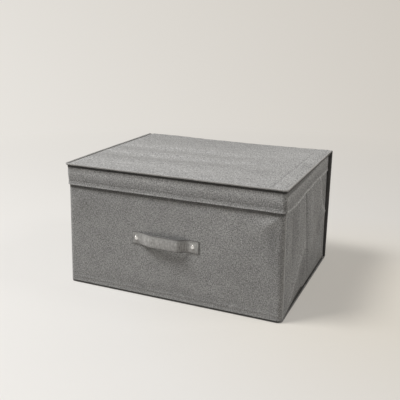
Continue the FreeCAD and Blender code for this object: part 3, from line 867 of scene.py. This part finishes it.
base_x, base_y, base_corner, even_y = 221.8 * mm, 171.8 * mm, 6 * mm, 163 * mm
rows = graded((-base_y, -even_y, 8), (-even_y, even_y, 60), (even_y, base_y, 8))
x, y = plate_points(base_x, rows, 90, base_corner, False)
low_face = 0.12 * mm * (1 + unrest(x, y, 90 * mm, 71)) * np.clip(1 - (x / (220 * mm)) ** 8, 0, 1)
base_faces = [as_points(x, y, z) for z in (cloth, np.maximum(low_face * 0.5, 0))]
base_cloth = two_faced("base_cloth", *base_faces, as_points(x, y))
finish(base_cloth, lining_cloth, "lining_cloth", "box", "bottom_cover")


def wrapped_board(name, low, high, puff, columns=100, rows=80):
    """A slab with soft edges: middle +- half (0.92 sqrt((1 - |a| ** 160) (1 - |b| ** 130)) + 0.08), and a puff."""
    a = np.sin(np.linspace(-math.pi / 2, math.pi / 2, columns))[None, :]
    b = np.sin(np.linspace(-math.pi / 2, math.pi / 2, rows))[:, None]
    x, y = np.broadcast_arrays((low[0] + high[0]) / 2 + (high[0] - low[0]) / 2 * a,
                               (low[1] + high[1]) / 2 + (high[1] - low[1]) / 2 * b)
    middle, half = (low[2] + high[2]) / 2, (high[2] - low[2]) / 2
    edge = np.sqrt(np.clip(1 - np.abs(a) ** 160, 0, 1) * np.clip(1 - np.abs(b) ** 130, 0, 1)) * 0.92 + 0.08
    ruffle = puff * (unrest(x, y, 80 * mm, 81) + 0.6) * (1 - np.abs(a) ** 20) * (1 - np.abs(b) ** 20)
    top = as_points(x, y, middle + half * edge + np.maximum(ruffle, 0))
    return two_faced(name, top, as_points(x, y, middle - half * edge), as_points(x, y))


board_cover = wrapped_board("loose_board_cloth", *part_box("base_board_cover"), 0.12 * mm)
finish(board_cover, lining_cloth, "lining_cloth", "bottom_insert", "base_board_cover")
say(base_cloth, board_cover)

# %% [markdown]
# ## The lid
#
# Seen from the camera, the lid's top is the lightest and largest face, so its small forms matter: it hangs a
# little towards the middle of the rear edge, some soft ripples run along it parallel to the front where the
# cloth has crept over its board, and a row of stitches closes the pocket for the board near the right edge.
# The cloth ends under the raised piping. Cloth, board and lining hang by the same sag. The soft bands of light and
# dark that run along the lid are partly its shallow waves and partly painted light and shade.

# %% Lid top, board and lining
def drawn(x, y):
    """x, moved in by up to 4 mm towards the rear left corner, where the sewing has pulled the lid."""
    return x + 4 * mm * step(-x, 90 * mm, 225 * mm) * step(y, -60 * mm, 178 * mm)


def from_edge(x, y):
    """How far a place on the lid is from the nearest edge that has piping."""
    return np.minimum(lid_reach - np.abs(x), y - lid_front_y)


def edge_tuck(x, y):
    """How far the cloth dives beside the piping: 1.9 mm at the seam, and nothing 9 mm away."""
    return 1.9 * mm * (1 - step(from_edge(x, y), -1 * mm, 9 * mm))


def lid_height(x, y):
    """The cloth's height less the lid's: -sag, ripples in a patch, unrest, the stitched groove, and the tuck."""
    inside = np.clip(from_edge(x, y) / (14 * mm), 0, 1)
    patch = swell(x, y, (-80 * mm, -34 * mm), (150 * mm, 48 * mm))
    bend = y + 0.05 * x + 4 * mm * unrest(x, y, 120 * mm, 91)
    ripples = 0.3 * mm * np.cos(2 * math.pi * bend / (19 * mm)) * patch
    wave = np.cos(2 * math.pi * (y - 0.055 * x + 5 * mm) / (70 * mm))
    ripples = ripples + 1.1 * mm * wave * swell(x, y, (-60 * mm, -10 * mm), (170 * mm, 90 * mm))
    slack = 0.5 * mm * unrest(0.4 * x, y, 60 * mm, 92) + 0.16 * mm * unrest(x, y, 22 * mm, 93)
    puckers = 0.22 * mm * np.cos(2 * math.pi * (y - 0.3 * x) / (15 * mm)) * step(x, 180 * mm, 200 * mm)
    groove = -0.8 * mm * ridge(x - lid_stitch_x, 1.8 * mm) + 0.35 * mm * ridge(x - 199 * mm, 3 * mm)
    return -sag(x, y) + (ripples + slack + puckers) * step(inside, 0, 1) + groove - edge_tuck(x, y)


lid_rows = graded((lid_front_y, -160 * mm, 10), (-160 * mm, 160 * mm, 120), (160 * mm, 175 * mm, 8))
x, y = plate_points(lid_reach, lid_rows, 190, 4 * mm, True)
top = lid_top + lid_height(x, y)
across = y - 0.055 * x + 3 * mm * unrest(x, y, 110 * mm, 96)
# painted light and shade in soft bands that run along the lid
painted_bands = np.interp(across, np.array([-170, -138, -112, -62, -27, 12, 44, 78, 140, 172]) * mm,
                  [0.0, 0.02, 0.05, -0.07, 0.06, -0.06, 0.05, 0.0, -0.06, -0.05])
# each spot: painted light and shade, x, y, half width, half depth
lid_spots = [(0.10, 155, 100, 40, 40), (-0.12, 145, -75, 28, 26), (-0.18, 208, 5, 12, 22)]
# painted shading: the bands, the spots and a slight overall brightening
painted_light_map = 0.04 + 2.4 * painted_bands * (1 - 0.75 * step(x, 40 * mm, 130 * mm)) + spots(x, y, lid_spots)
# painted highlight beside the stitched groove and painted shade in it
painted_light_map = painted_light_map + 0.14 * ridge(x - 198.5 * mm, 2.2 * mm) - 0.27 * ridge(x - lid_stitch_x, 1.8 * mm)
faces = [as_points(drawn(x, y), y, top - down) for down in (0.0, cloth)]
lid_cover = two_faced("lid_cloth", *faces, as_points(x, y), painted_light_map)
finish(lid_cover, lid_cloth_slubs, "cover_cloth", "lid", "lid_cover")


def lid_layer(name, gap, upper, lower, radius, material, slot, node, pucker=0.0):
    """A flat layer of the lid, that much inside the cloth above it, which hangs by the same sag."""
    front = lid_front_y + gap
    rows = graded((front, front + 10 * mm, 8), (front + 10 * mm, lid_rear_y, 60))
    x, y = plate_points(lid_reach - gap, rows, 100, radius, True)
    drop = sag(x, y)
    loose = pucker * (1 + unrest(x, y, 65 * mm, 95)) * np.clip(1 - (x / (205 * mm)) ** 6, 0, 1)
    loose = loose * step(y, -158 * mm, -135 * mm) * (1 - step(y, 150 * mm, 165 * mm))
    upper = np.minimum(upper, lid_cloth_low - 0.15 * mm - edge_tuck(x, y)) - drop
    faces = [as_points(drawn(x, y), y, face) for face in (upper, lower - drop - loose)]
    return finish(two_faced(name, *faces, as_points(x, y)), material, slot, "lid", node)


lid_stiffener = lid_layer("lid_stiffener", 1.5 * mm, lid_board_high, lid_board_low, 2.5 * mm, greyboard, "greyboard",
                          "lid_board")
lid_inner = lid_layer("lid_inner_cloth", 0.1 * mm, lid_board_low, lid_lining_low, 4 * mm, lining_cloth,
                      "lining_cloth", "lid_lining", 0.25 * mm)
say(lid_cover, lid_stiffener, lid_inner)


# %% The piping round the lid
def lid_path(inset, radius, z, gap=3 * mm):
    """From the rear left along three sides to the rear right, with rounded front corners."""
    x, front = half_width - inset, inset - half_depth
    turn = np.linspace(0, math.pi / 2, 12)
    side = np.arange(lid_rear_y, front + radius, -gap)
    across = np.arange(radius - x, x - radius, gap)
    corner = np.stack([-x + radius - radius * np.cos(turn), front + radius - radius * np.sin(turn)], axis=1)
    left = np.stack([np.full_like(side, -x), side], axis=1)
    half = np.vstack([left, corner])
    front_run = np.stack([across[1:], np.full(len(across) - 1, front)], axis=1)
    flat = np.vstack([half, front_run, half[::-1] * [-1, 1]])
    return np.column_stack([drawn(*flat.T), flat[:, 1], np.full(len(flat), z)])


piping_radius, piping_corner = 1.9 * mm, 6 * mm
piping_path = lid_path(piping_radius, piping_corner, height - piping_radius)
sway = unrest(piping_path[:, 0], piping_path[:, 1], 60 * mm, 101)
piping_path[:, 2] -= 0.12 * mm * (1 + sway)
lid_piping = cord("lid_cord", piping_path, piping_radius * (1 - 0.02 * (1 + sway)), 12)
finish(lid_piping, cord_cloth, "cover_cloth", "lid", "lid_piping")
# a dark strip that stands for no node of the frame, laid in the groove under the piping where there is only shade:
# painted shade
seam_inset, seam_corner, seam_z = 3.6 * mm, 5.5 * mm, 243.4 * mm
seam_path = lid_path(seam_inset, seam_corner, seam_z)
recess_shade_strip = finish(cord("lid_recess_shade_strip", seam_path, 0.5 * mm, 8, tall=5.0), dark_tape, "dark_tape", "lid")
say(lid_piping, recess_shade_strip)

# %% [markdown]
# ## The skirt
#
# A doubled band of cloth hangs from the lid on three sides. It is sewn in behind the piping, so its top tucks
# in and lies in shadow, and its hem is free: it stands off in slow waves and is a little thicker where the
# cloth is turned up. The hems of the side bands dip a little behind the corner and climb from there. Light and
# shade are painted into its colour: a painted highlight along the hem and on the shoulder under the piping,
# painted shade in the seam above the hem, and on the sides painted shade under the piping.

# %% Skirt bands
def skirt(u, z, out):
    """(x, y, z) round the lid: straight front, quarter turn at 1 to 2, and a side that draws in to 3."""
    u, z, out = np.broadcast_arrays(np.asarray(u, float), z, out)
    side, walked = np.sign(u), np.abs(u)
    x_end, y_end = half_width - skirt_inset, skirt_inset + corner_radius - half_depth
    angle = np.clip(walked - 1, 0, 1) * math.pi / 2
    back = np.clip(walked - 2, 0, 1)
    x = np.clip(walked, 0, 1) * (x_end - corner_radius) + (corner_radius + out) * np.sin(angle) - skirt_draw_in * back
    y = y_end - (corner_radius + out) * np.cos(angle) + (lid_rear_y - y_end) * back
    return np.stack([side * x, y, z], axis=-1)


def skirt_along(u):
    """Metres of skirt from the middle of the front to u."""
    straight = half_width - skirt_inset - corner_radius
    reached = np.cumsum([0, straight, corner_radius * math.pi / 2, skirt_side_run])
    return np.sign(u) * np.interp(np.abs(u), [0, 1, 2, 3], reached)


def skirt_band(name, u, hem, seed, node, stand, material):
    """Outer face: tucked and sloped at the top, waved to a crisp turned-up hem that stands off; inner face follows."""
    share = graded((0, 0.06, 8), (0.06, 0.25, 10), (0.25, 0.85, 18), (0.85, 1, 14))[:, None]
    skirt_top = np.interp(np.abs(u), [1.5, 2.05], [skirt_top_front, skirt_top_side])[None, :]
    u, hem, stand = u[None, :], hem[None, :], stand[None, :]
    z = hem + (skirt_top - hem) * share
    run = skirt_along(u)
    free = 1 - step(z, hem, skirt_top - 3 * mm)
    near_rear = 1 - step(np.abs(u), 2.9, 3.0)
    waves = 0.5 * mm * (0.6 + unrest(run, 0.0, 70 * mm, seed)) * free * np.clip(stand / mm, 0, 1)
    dents = 0.2 * mm * unrest(run, z, 30 * mm, seed + 1) * np.sin(math.pi * share)
    turned = 0.7 * mm * ridge(z - hem - 0.7 * mm, 1.8 * mm) - 0.35 * mm * ridge(z - hem - 8.0 * mm, 1.2 * mm)
    tuck = 1.5 * mm * (1 - np.sqrt(np.clip(1 - np.clip((z - skirt_top) / (2.2 * mm) + 1, 0, 1) ** 2, 0, 1)))
    slope = 0.7 * mm * step(z, skirt_top - 15 * mm, skirt_top - 1 * mm)
    out = (waves + dents) * near_rear + turned - tuck * 0.6 - slope + stand * free
    on_side = step(np.abs(u), 1.6, 2.1)
    # painted highlight along the turned-up hem, painted shade in the seam above it
    painted_light_map = (0.10 + 0.60 * on_side) * ridge(z - hem - 1.6 * mm, 1.9 * mm) - 0.15 * ridge(z - hem - 8.0 * mm, 1.8 * mm)
    towards_rear = step(skirt(u, 0.0, 0.0)[..., 1], -40 * mm, 130 * mm)
    # painted shade under the piping on the sides, towards the front
    shade = step(z, skirt_top - 8.5 * mm, skirt_top - 5.5 * mm) * on_side * (1 - towards_rear)
    painted_light_map = painted_light_map + 0.04 - 0.6 * shade
    # painted highlight on the shoulder under the piping
    painted_light_map = painted_light_map + 0.20 * swell(0, z, (0, skirt_top - 10 * mm), (1, 5.5 * mm))
    # painted shade a little above the hem
    painted_light_map = painted_light_map - 0.12 * swell(0, z, (0, hem + 12 * mm), (1, 5 * mm))
    inside = -skirt_thickness + (waves + 0.5 * stand * free) * near_rear
    inner = np.clip(inside, -2.0 * mm, out - 0.4 * mm)
    cloth_band = two_faced(name, skirt(u, z, out), skirt(u, z, inner), as_points(run, z), painted_light_map)
    return finish(cloth_band, material, "cover_cloth", "lid", node)


front_u = graded((-2, -1, 12), (-1, 1, 150), (1, 2, 12))
side_u = graded((2, 2.06, 10), (2.06, 3, 110))
side_hem = np.interp(skirt(side_u, 0.0, 0.0)[:, 1], np.array([-165, -158, -104, -36, 65, 172]) * mm,
                     np.array([206, 206, 203.5, 208, 209, 205]) * mm)
front_stand = np.interp(front_u, [-2, -1.2, -0.8, 0, 0.9, 1.3, 2],
                        np.array([-0.7, -0.5, 0.3, 0.8, 0.7, 0.8, 1.2]) * mm)
right_stand = np.interp(side_u, [2, 2.3, 2.9, 3], np.array([1.2, 1.9, 1.2, 0.2]) * mm)
left_stand = np.interp(side_u, [2, 2.3, 2.9, 3], np.array([-0.7, 0.4, 0.8, 0.2]) * mm)
front_band = skirt_band("skirt_front", front_u, np.full(len(front_u), front_hem_z), 111, "lid_skirt_front",
                        front_stand, cover_cloth)
right_band = skirt_band("skirt_right", side_u, side_hem, 113, "lid_skirt_right", right_stand, side_cloth_slubs)
left_band = skirt_band("skirt_left", -side_u, side_hem, 117, "lid_skirt_left", left_stand, side_cloth_slubs)
say(front_band, right_band, left_band)

# %% [markdown]
# ## The hinge
#
# The hinge is only cloth: a strip sewn behind the back panel that goes over its top edge and in under the
# lid's cloth. It bends along the rear top edge, so it is one mesh that follows the box below and the lid above.

# %% Hinge strip
def hinge_cloth(name):
    """A strip that goes up the back, turns a quarter circle and runs forward under the lid's cloth."""
    x = np.linspace(-flat_half, flat_half, 90)[None, :]
    drop = sag(x, half_depth)
    share, turn = np.linspace(0, 1, 12), np.linspace(0, 1, 9)[1:] * math.pi / 2
    radius, thickness = 1.2 * mm, 0.5 * mm
    corner_y, corner_z = 174.95 * mm - radius, 248.35 * mm - radius
    foot_at, front_at = 224.4 * mm, 150 * mm

    def face(off):
        """Up the back, a quarter circle of radius + off, and forward."""
        r = radius + off
        up = as_points(corner_y + r, foot_at + (corner_z - foot_at) * share)
        arc = as_points(corner_y + r * np.cos(turn), corner_z + r * np.sin(turn))
        over = as_points(corner_y + (front_at - corner_y) * share, corner_z + r)[1:]
        line_y, line_z = np.concatenate([up, arc, over]).T[:, :, None]
        return as_points(x, line_y, line_z - drop * step(line_z, 226 * mm, 240 * mm))

    outer, inner = face(0.0), face(-thickness)
    return two_faced(name, outer, inner, as_points(x, walked_length(outer[:, 0])[:, None]))


hinge = hinge_cloth("hinge_cloth")
hinge.data.materials.append(cover_cloth)
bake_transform(hinge)
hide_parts("hinge_strip")
say(hinge)

# %% [markdown]
# ## The strap
#
# The handle is a strip of the same cloth, folded lengthwise, pressed and stitched along both edges. Its ends lie
# flat under the rivets, and between them it stands off the wall in a bow, a little steeper at the right. Its
# cross-section is a flat oval with two dents where the stitches pull it together. Painted shade darkens its
# colour along the edges, at both ends, and where the bow comes down to the rivets.

# %% Strap
strap_z, strap_thickness, strap_width = 119 * mm, 2.4 * mm, 25 * mm
strap_left, strap_right = -76.5 * mm, 63.5 * mm
strap_stitch_up = 9.7 * mm
rivets_x = (-67.5 * mm, 49.8 * mm)
lean_angle = math.atan2(total_lean, rim_z - foot_z)


def on_front(x, out, up):
    """From the front wall's own plane (along, outwards, upwards) to (x, y, z), through the wall's lean."""
    y = front_y(strap_z) - out * math.cos(lean_angle) + up * math.sin(lean_angle)
    z = strap_z + up * math.cos(lean_angle) + out * math.sin(lean_angle)
    return as_points(x, y, z)


def bow(x):
    """Height of the strap's inner face over the wall: a quick rise, a slow climb to the right, and a steep return."""
    rise = step(x, -63 * mm, -28 * mm)
    climb = 7.6 * mm + 2.4 * mm * step(x, -50 * mm, 16 * mm)
    return climb * rise * (1 - step(x, 20 * mm, 44 * mm))


def strap_band(name):
    """Superellipse |a / w| ** 8 + |b / t| ** 2.6 = 1, dented at the stitches, carried along the bow."""
    x = np.linspace(strap_left, strap_right, 150)
    centre = bow(x) + strap_thickness / 2
    tilt = np.arctan(np.gradient(centre, x))
    angle = np.linspace(0, 2 * math.pi, 48, endpoint=False)
    across = np.sign(np.cos(angle)) * np.abs(np.cos(angle)) ** (2 / 8) * strap_width / 2
    through = np.sign(np.sin(angle)) * np.abs(np.sin(angle)) ** (2 / 2.6) * strap_thickness / 2
    dent = 1 - 0.32 * ridge(np.abs(across) - strap_stitch_up, 0.8 * mm)
    ends = np.minimum(x - strap_left, strap_right - x)
    thick = 0.62 + 0.38 * step(ends, 0, 2.0 * mm)
    press = 1 - 0.3 * np.exp(-((x[:, None] - np.array(rivets_x)) / (5 * mm)) ** 2).sum(axis=1)
    lies_flat = bow(x) < 0.2 * mm
    b = through * dent * (thick * np.where(lies_flat, press, 1))[:, None]
    b = np.where(lies_flat[:, None], np.maximum(b, -strap_thickness / 2), b)
    waist = 1 - 0.02 * step(bow(x), 0, 12 * mm)
    a = across * waist[:, None] + 0.15 * mm * unrest(x, 0.0, 30 * mm, 121)[:, None]
    px = x[:, None] - b * np.sin(tilt)[:, None]
    out = centre[:, None] + b * np.cos(tilt)[:, None]
    girth = np.linspace(0, 2 * (strap_width + strap_thickness), len(angle) + 1)
    places = as_points(walked_length(as_points(x, centre))[:, None], girth)
    # painted shade along both edges
    edge = step(np.abs(across), strap_width / 2 - 1.6 * mm, strap_width / 2 - 0.9 * mm)
    # painted shade at both ends
    end_shade = np.exp(-((x - strap_left) / (1.2 * mm)) ** 2) + 1.3 * np.exp(-((x - strap_right) / (2.0 * mm)) ** 2)
    # painted shade where the bow comes down to the rivets
    dark = 0.28 * swell(x, 0, (31 * mm, 0), (9 * mm, 1)) + 0.20 * swell(x, 0, (-57 * mm, 0), (4 * mm, 1))
    painted_shading = 0.06 - 0.75 * np.maximum(edge, np.clip(end_shade, 0, 1)[:, None]) - 0.45 * dark[:, None]
    return closed_round(name, on_front(px, np.maximum(out, 0.02 * mm), a), places, painted_shading=painted_shading)


strap = finish(strap_band("strap"), strap_cloth, "strap_cloth", "box", "handle_strap")
say(strap)


# %% Rivets
def turned(name, profile, x, sides=40):
    """A profile of (radius, height) pairs turned round the rivet's axis; both poles are closed by small caps."""
    angle = np.linspace(0, 2 * math.pi, sides, endpoint=False)
    radius, level = profile[:, 0][:, None], profile[:, 1][:, None]
    points = on_front(x + radius * np.cos(angle), level, radius * np.sin(angle))
    return closed_round(name, points, as_points(level, np.linspace(0, 20 * mm, sides + 1)))


def domed(radius, rise, flat, base):
    """Cap: a rolled rim, then a dome of height rise, from the outside in to a tiny flat pole."""
    arc = np.linspace(0.5 * math.pi, 0.02, 14)
    dome = np.stack([radius * 0.86 * np.sin(arc), base + flat + (rise - flat) * np.cos(arc)], axis=1)
    roll = np.linspace(-0.5 * math.pi, 0.42 * math.pi, 9)
    rim = np.stack([radius - flat / 2 + flat / 2 * np.cos(roll), base + flat / 2 + flat / 2 * np.sin(roll)], axis=1)
    return np.vstack([[[0.02 * mm, base]], rim, dome])


cap_profile = domed(4.0 * mm, 1.7 * mm, 0.7 * mm, 2.15 * mm)
washer_profile = domed(4.5 * mm, 1.0 * mm, 0.6 * mm, wall_thickness) * [1, -1]
rivet_parts = [("rivet_cap_", cap_profile, "handle_rivets"), ("rivet_back_", washer_profile, "rivet_backs")]
for start, profile, node in rivet_parts:
    for side, x in zip(("left", "right"), rivets_x):
        say(finish(turned(start + side, profile, x), rivet_metal, "rivet_metal", "box", node))

# %% [markdown]
# ## Stitches
#
# A seam reads as real when the thread is really there. One stitch is a short bead that rises in the middle and
# dives at both ends, made once as a few rings and repeated along a path by whole-array arithmetic.

# %% Stitches
def stitches(name, path, normal, body, slot="cover_cloth", length=2.9 * mm, gap=0.7 * mm, radius=0.24 * mm):
    """Beads at even steps along the path: six rings each, lifted by r (0.45 - 0.9 t ** 2) along the normal."""
    run = walked_length(path)
    starts = np.arange(gap, run[-1] - length - gap, length + gap)
    t = np.array([-1.0, -0.86, -0.4, 0.4, 0.86, 1.0])
    girth = np.array([0.15, 0.7, 1.0, 1.0, 0.7, 0.15]) * radius
    at = starts[:, None] + length * (0.5 + 0.5 * t)[None, :]
    centre = np.stack([np.interp(at, run, path[:, k]) for k in range(3)], axis=-1)
    outward = np.stack([np.interp(at, run, normal[:, k]) for k in range(3)], axis=-1)
    outward /= np.linalg.norm(outward, axis=-1, keepdims=True)
    tangent = np.gradient(centre, axis=1)
    tangent /= np.linalg.norm(tangent, axis=-1, keepdims=True)
    across = np.cross(tangent, outward)
    lift = radius * (0.45 - 0.9 * t ** 2)
    angle = np.linspace(0, 2 * math.pi, 6, endpoint=False)
    ring = across[:, :, None] * np.cos(angle)[:, None] + outward[:, :, None] * np.sin(angle)[:, None]
    points = centre[:, :, None] + outward[:, :, None] * lift[:, None, None] + ring * girth[:, None, None]
    count, rings, sides = points.shape[:3]
    index = np.arange(count * rings * sides).reshape(count, rings, sides)
    around = np.concatenate([index, index[:, :, :1]], axis=2)
    corners = [around[:, :-1, :-1], around[:, :-1, 1:], around[:, 1:, 1:], around[:, 1:, :-1]]
    skin = np.stack(corners, axis=-1).reshape(-1, 4)
    caps = np.concatenate([index[:, 0, :], index[:, -1, ::-1]])
    flat = points.reshape(-1, 3)
    places = flat[:, [0, 1]] + flat[:, [2, 2]]
    made = mesh_object(name, flat, [skin, caps], [places[skin], places[caps]])
    return finish(made, thread, slot, body)


def strap_line(up):
    """Stitch line along the strap's outer face, that far from its middle."""
    x = np.linspace(strap_left + 2.5 * mm, strap_right - 2.5 * mm, 140)
    centre = bow(x) + strap_thickness / 2
    tilt = np.arctan(np.gradient(centre, x))
    surface = strap_thickness / 2 * 0.68
    path = on_front(x - surface * np.sin(tilt), centre + surface * np.cos(tilt), up)
    return path, on_front(x - np.sin(tilt), centre + np.cos(tilt), up) - on_front(x, centre, up)


strap_stitches = [stitches("strap_stitches_" + name, *strap_line(up), "box", "strap_cloth", radius=0.26 * mm)
                  for name, up in (("upper", strap_stitch_up), ("lower", -strap_stitch_up))]
line_y = np.linspace(-166 * mm, 168 * mm, 200)
lid_line = as_points(lid_stitch_x, line_y, lid_top + lid_height(lid_stitch_x, line_y))
lid_stitches = stitches("lid_stitches", lid_line, np.tile([0.0, 0.0, 1.0], (200, 1)), "lid")
say(*strap_stitches, lid_stitches)

# %% [markdown]
# ## Kept from the frame
#
# The boards inside the walls never show from outside, but they are part of the box, so they get their board
# material like every other node.

# %% Boards
for name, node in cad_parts.items():
    if not node.hide_render:
        node.data.materials.clear()
        node.data.materials.append(greyboard)
        print("kept:", name)

# %% [markdown]
# ## Every piece of cloth was cut flat.

# %% [markdown]
# ## Floor and light
#
# A plain pale floor, a broad soft lamp from the upper left and a little in front, a small one from the upper right,
# a weak one from behind on the right, and a faint even light from all round. A fall-off of light is painted on the
# paper and its glow, from light on the left to darker on the right, and a painted warm tint colours the box's
# shadow; the paper glows a little where it is looked at, and is darker for scattered light. Where the floor
# ends, the surroundings that are looked at are bright too.

# %% Floor
def looked_at(tree):
    """1 for rays that see a surface from the camera, in a mirror or through glass, and 0 for scattered light."""
    rays = add(tree, "LightPath")
    direct = maths(tree, "ADD", rays.outputs["Is Camera Ray"], rays.outputs["Is Glossy Ray"])
    return maths(tree, "MINIMUM", maths(tree, "ADD", direct, rays.outputs["Is Transmission Ray"]), 1.0)


def fan_share(tree, place):
    """0.676 + (1.023 w - 0.325) / max(1.4 + f, 0.5) + 0.134 z, with w rightward and f backward in the room."""
    rightward, backward = (0.917, 0.399, 0.0), (-0.399, 0.917, 0.0)
    w, f = [add(tree, "VectorMath", {0: place, 1: axis}, operation="DOT_PRODUCT").outputs["Value"]
            for axis in (rightward, backward)]
    z = add(tree, "SeparateXYZ", {0: place}).outputs[2]
    over = maths(tree, "SUBTRACT", maths(tree, "MULTIPLY", w, 1.023), 0.325)
    fan = maths(tree, "DIVIDE", over, maths(tree, "MAXIMUM", maths(tree, "ADD", f, 1.4), 0.5))
    return maths(tree, "ADD", maths(tree, "ADD", fan, maths(tree, "MULTIPLY", z, 0.134)), 0.676)


def pale_floor(name):
    """Paper with a painted fall-off of light from left to right by fan_share and a painted warm tint in the shadow,
    that glows where it is looked at.
    """
    material, tree, shader = new_material(name, 0.9)
    place = add(tree, "TexCoord").outputs["Object"]
    grain = add(tree, "TexNoise", {"Vector": place, "Scale": 60.0, "Detail": 3.0}).outputs[0]
    grain = maths(tree, "MULTIPLY", maths(tree, "SUBTRACT", grain, 0.5), 0.04)
    share = maths(tree, "MAXIMUM", maths(tree, "ADD", fan_share(tree, place), grain), 0.0)
    share = maths(tree, "MINIMUM", share, 1.0)
    # painted shadow tint: the paper is warmer round the box's shadow
    off_centre = add(tree, "VectorMath", {0: place, 1: shadow_tint_centre}, operation="DISTANCE").outputs["Value"]
    shadow_tint_share = add(tree, "MapRange", {"Value": off_centre, "From Min": 0.12, "From Max": 0.5, "To Min": 1.0, "To Max": 0.0})
    tinted = between(tree, shadow_tint_share.outputs[0], between(tree, share, paper_left, paper_right), painted_shadow_tint)
    seen = looked_at(tree)
    tree.links.new(between(tree, seen, paper_bounce, tinted), shader.inputs["Base Color"])
    far = add(tree, "VectorMath", {0: place}, operation="LENGTH").outputs["Value"]
    fade = add(tree, "MapRange", {"Value": far, "From Min": 0.5, "From Max": 1.7, "To Min": glow_near, "To Max": 1.0})
    lamp = add(tree, "Emission", {"Color": between(tree, share, glow_left, glow_right)})
    glowing = maths(tree, "MULTIPLY", seen, fade.outputs[0])
    mixed = add(tree, "MixShader", {0: glowing, 1: shader.outputs[0], 2: lamp.outputs[0]})
    tree.links.new(mixed.outputs[0], tree.nodes["Material Output"].inputs["Surface"])
    return material


# painted fall-off of light from left to right on the paper and its glow; the third colour is the painted warm tint of
# the shadow
paper_left, paper_right, painted_shadow_tint = (0.76, 0.755, 0.75), (0.67, 0.665, 0.66), (0.67, 0.63, 0.555)
# the paper's darker colour for scattered light only, so that it bounces less light
paper_bounce = (0.52, 0.50, 0.47)
glow_left, glow_right, glow_near = (0.857, 0.833, 0.793), (0.629, 0.594, 0.541), 0.45
shadow_tint_centre = (0.36, 0.02, 0)


def floor_sheet(name, reach=6.0, back=2.2, sweep=1.0):
    """A floor that curves up behind into a wall: flat to `back`, then a quarter circle, then straight up."""
    turn = np.linspace(0, math.pi / 2, 24)
    y = np.concatenate([[-reach, -2.0, 0.0, back], back + sweep * np.sin(turn[1:]), [back + sweep]])
    z = np.concatenate([[0, 0, 0, 0], sweep - sweep * np.cos(turn[1:]), [reach]])
    x = np.linspace(-reach, reach, 9)
    points = as_points(x, y[:, None], z[:, None])
    index = np.arange(points.shape[0] * points.shape[1]).reshape(points.shape[:2])
    mesh = bpy.data.meshes.new(name)
    mesh.from_pydata(points.reshape(-1, 3).tolist(), [], quads(index).tolist())
    mesh.polygons.foreach_set("use_smooth", np.ones(len(mesh.polygons), bool))
    made = bpy.data.objects.new(name, mesh)
    bpy.context.scene.collection.objects.link(made)
    made.data.materials.append(pale_floor("floor_paper"))
    return made


floor = floor_sheet("floor")
print("floor laid")


# %% Light
def area_light(name, place, target, size, watts, colour):
    """A square lamp at a place, turned to a target."""
    lamp = bpy.data.lights.new(name, "AREA")
    lamp.shape, lamp.size, lamp.energy, lamp.color = "SQUARE", size, watts, colour
    made = bpy.data.objects.new(name, lamp)
    away = np.asarray(place, float) - np.asarray(target, float)
    away /= np.linalg.norm(away)
    side = np.cross([0, 0, 1.0], away)
    side /= np.linalg.norm(side)
    matrix = np.eye(4)
    matrix[:3, :4] = np.column_stack([side, np.cross(away, side), away, place])
    made.matrix_world = Matrix(matrix.tolist())
    bpy.context.scene.collection.objects.link(made)
    return made


lamps = [  # name, place, size in metres, watts, colour
    ("key", (-1.5, -1.1, 3.35), 1.2, 141, (1.0, 0.99, 0.97)),
    ("upper", (2.2, 0.5, 2.2), 0.7, 13, (1.0, 0.97, 0.92)),
    ("fill", (2.0, 2.0, 0.75), 0.8, 8, (1.0, 0.95, 0.88)),
]
for name, place, size, watts, colour in lamps:
    area_light(name, place, (0, 0, 0.1), size, watts, colour)
faint, extra_where_seen = 0.12, 0.62
world = bpy.data.worlds.new("studio")
world.use_nodes = True
bpy.context.scene.world = world
tree = world.node_tree
background = tree.nodes["Background"]
background.inputs["Color"].default_value = (1.0, 0.95, 0.88, 1)
strength = maths(tree, "ADD", maths(tree, "MULTIPLY", looked_at(tree), extra_where_seen), faint)
tree.links.new(strength, background.inputs["Strength"])
bpy.context.scene.view_settings.view_transform = "Standard"
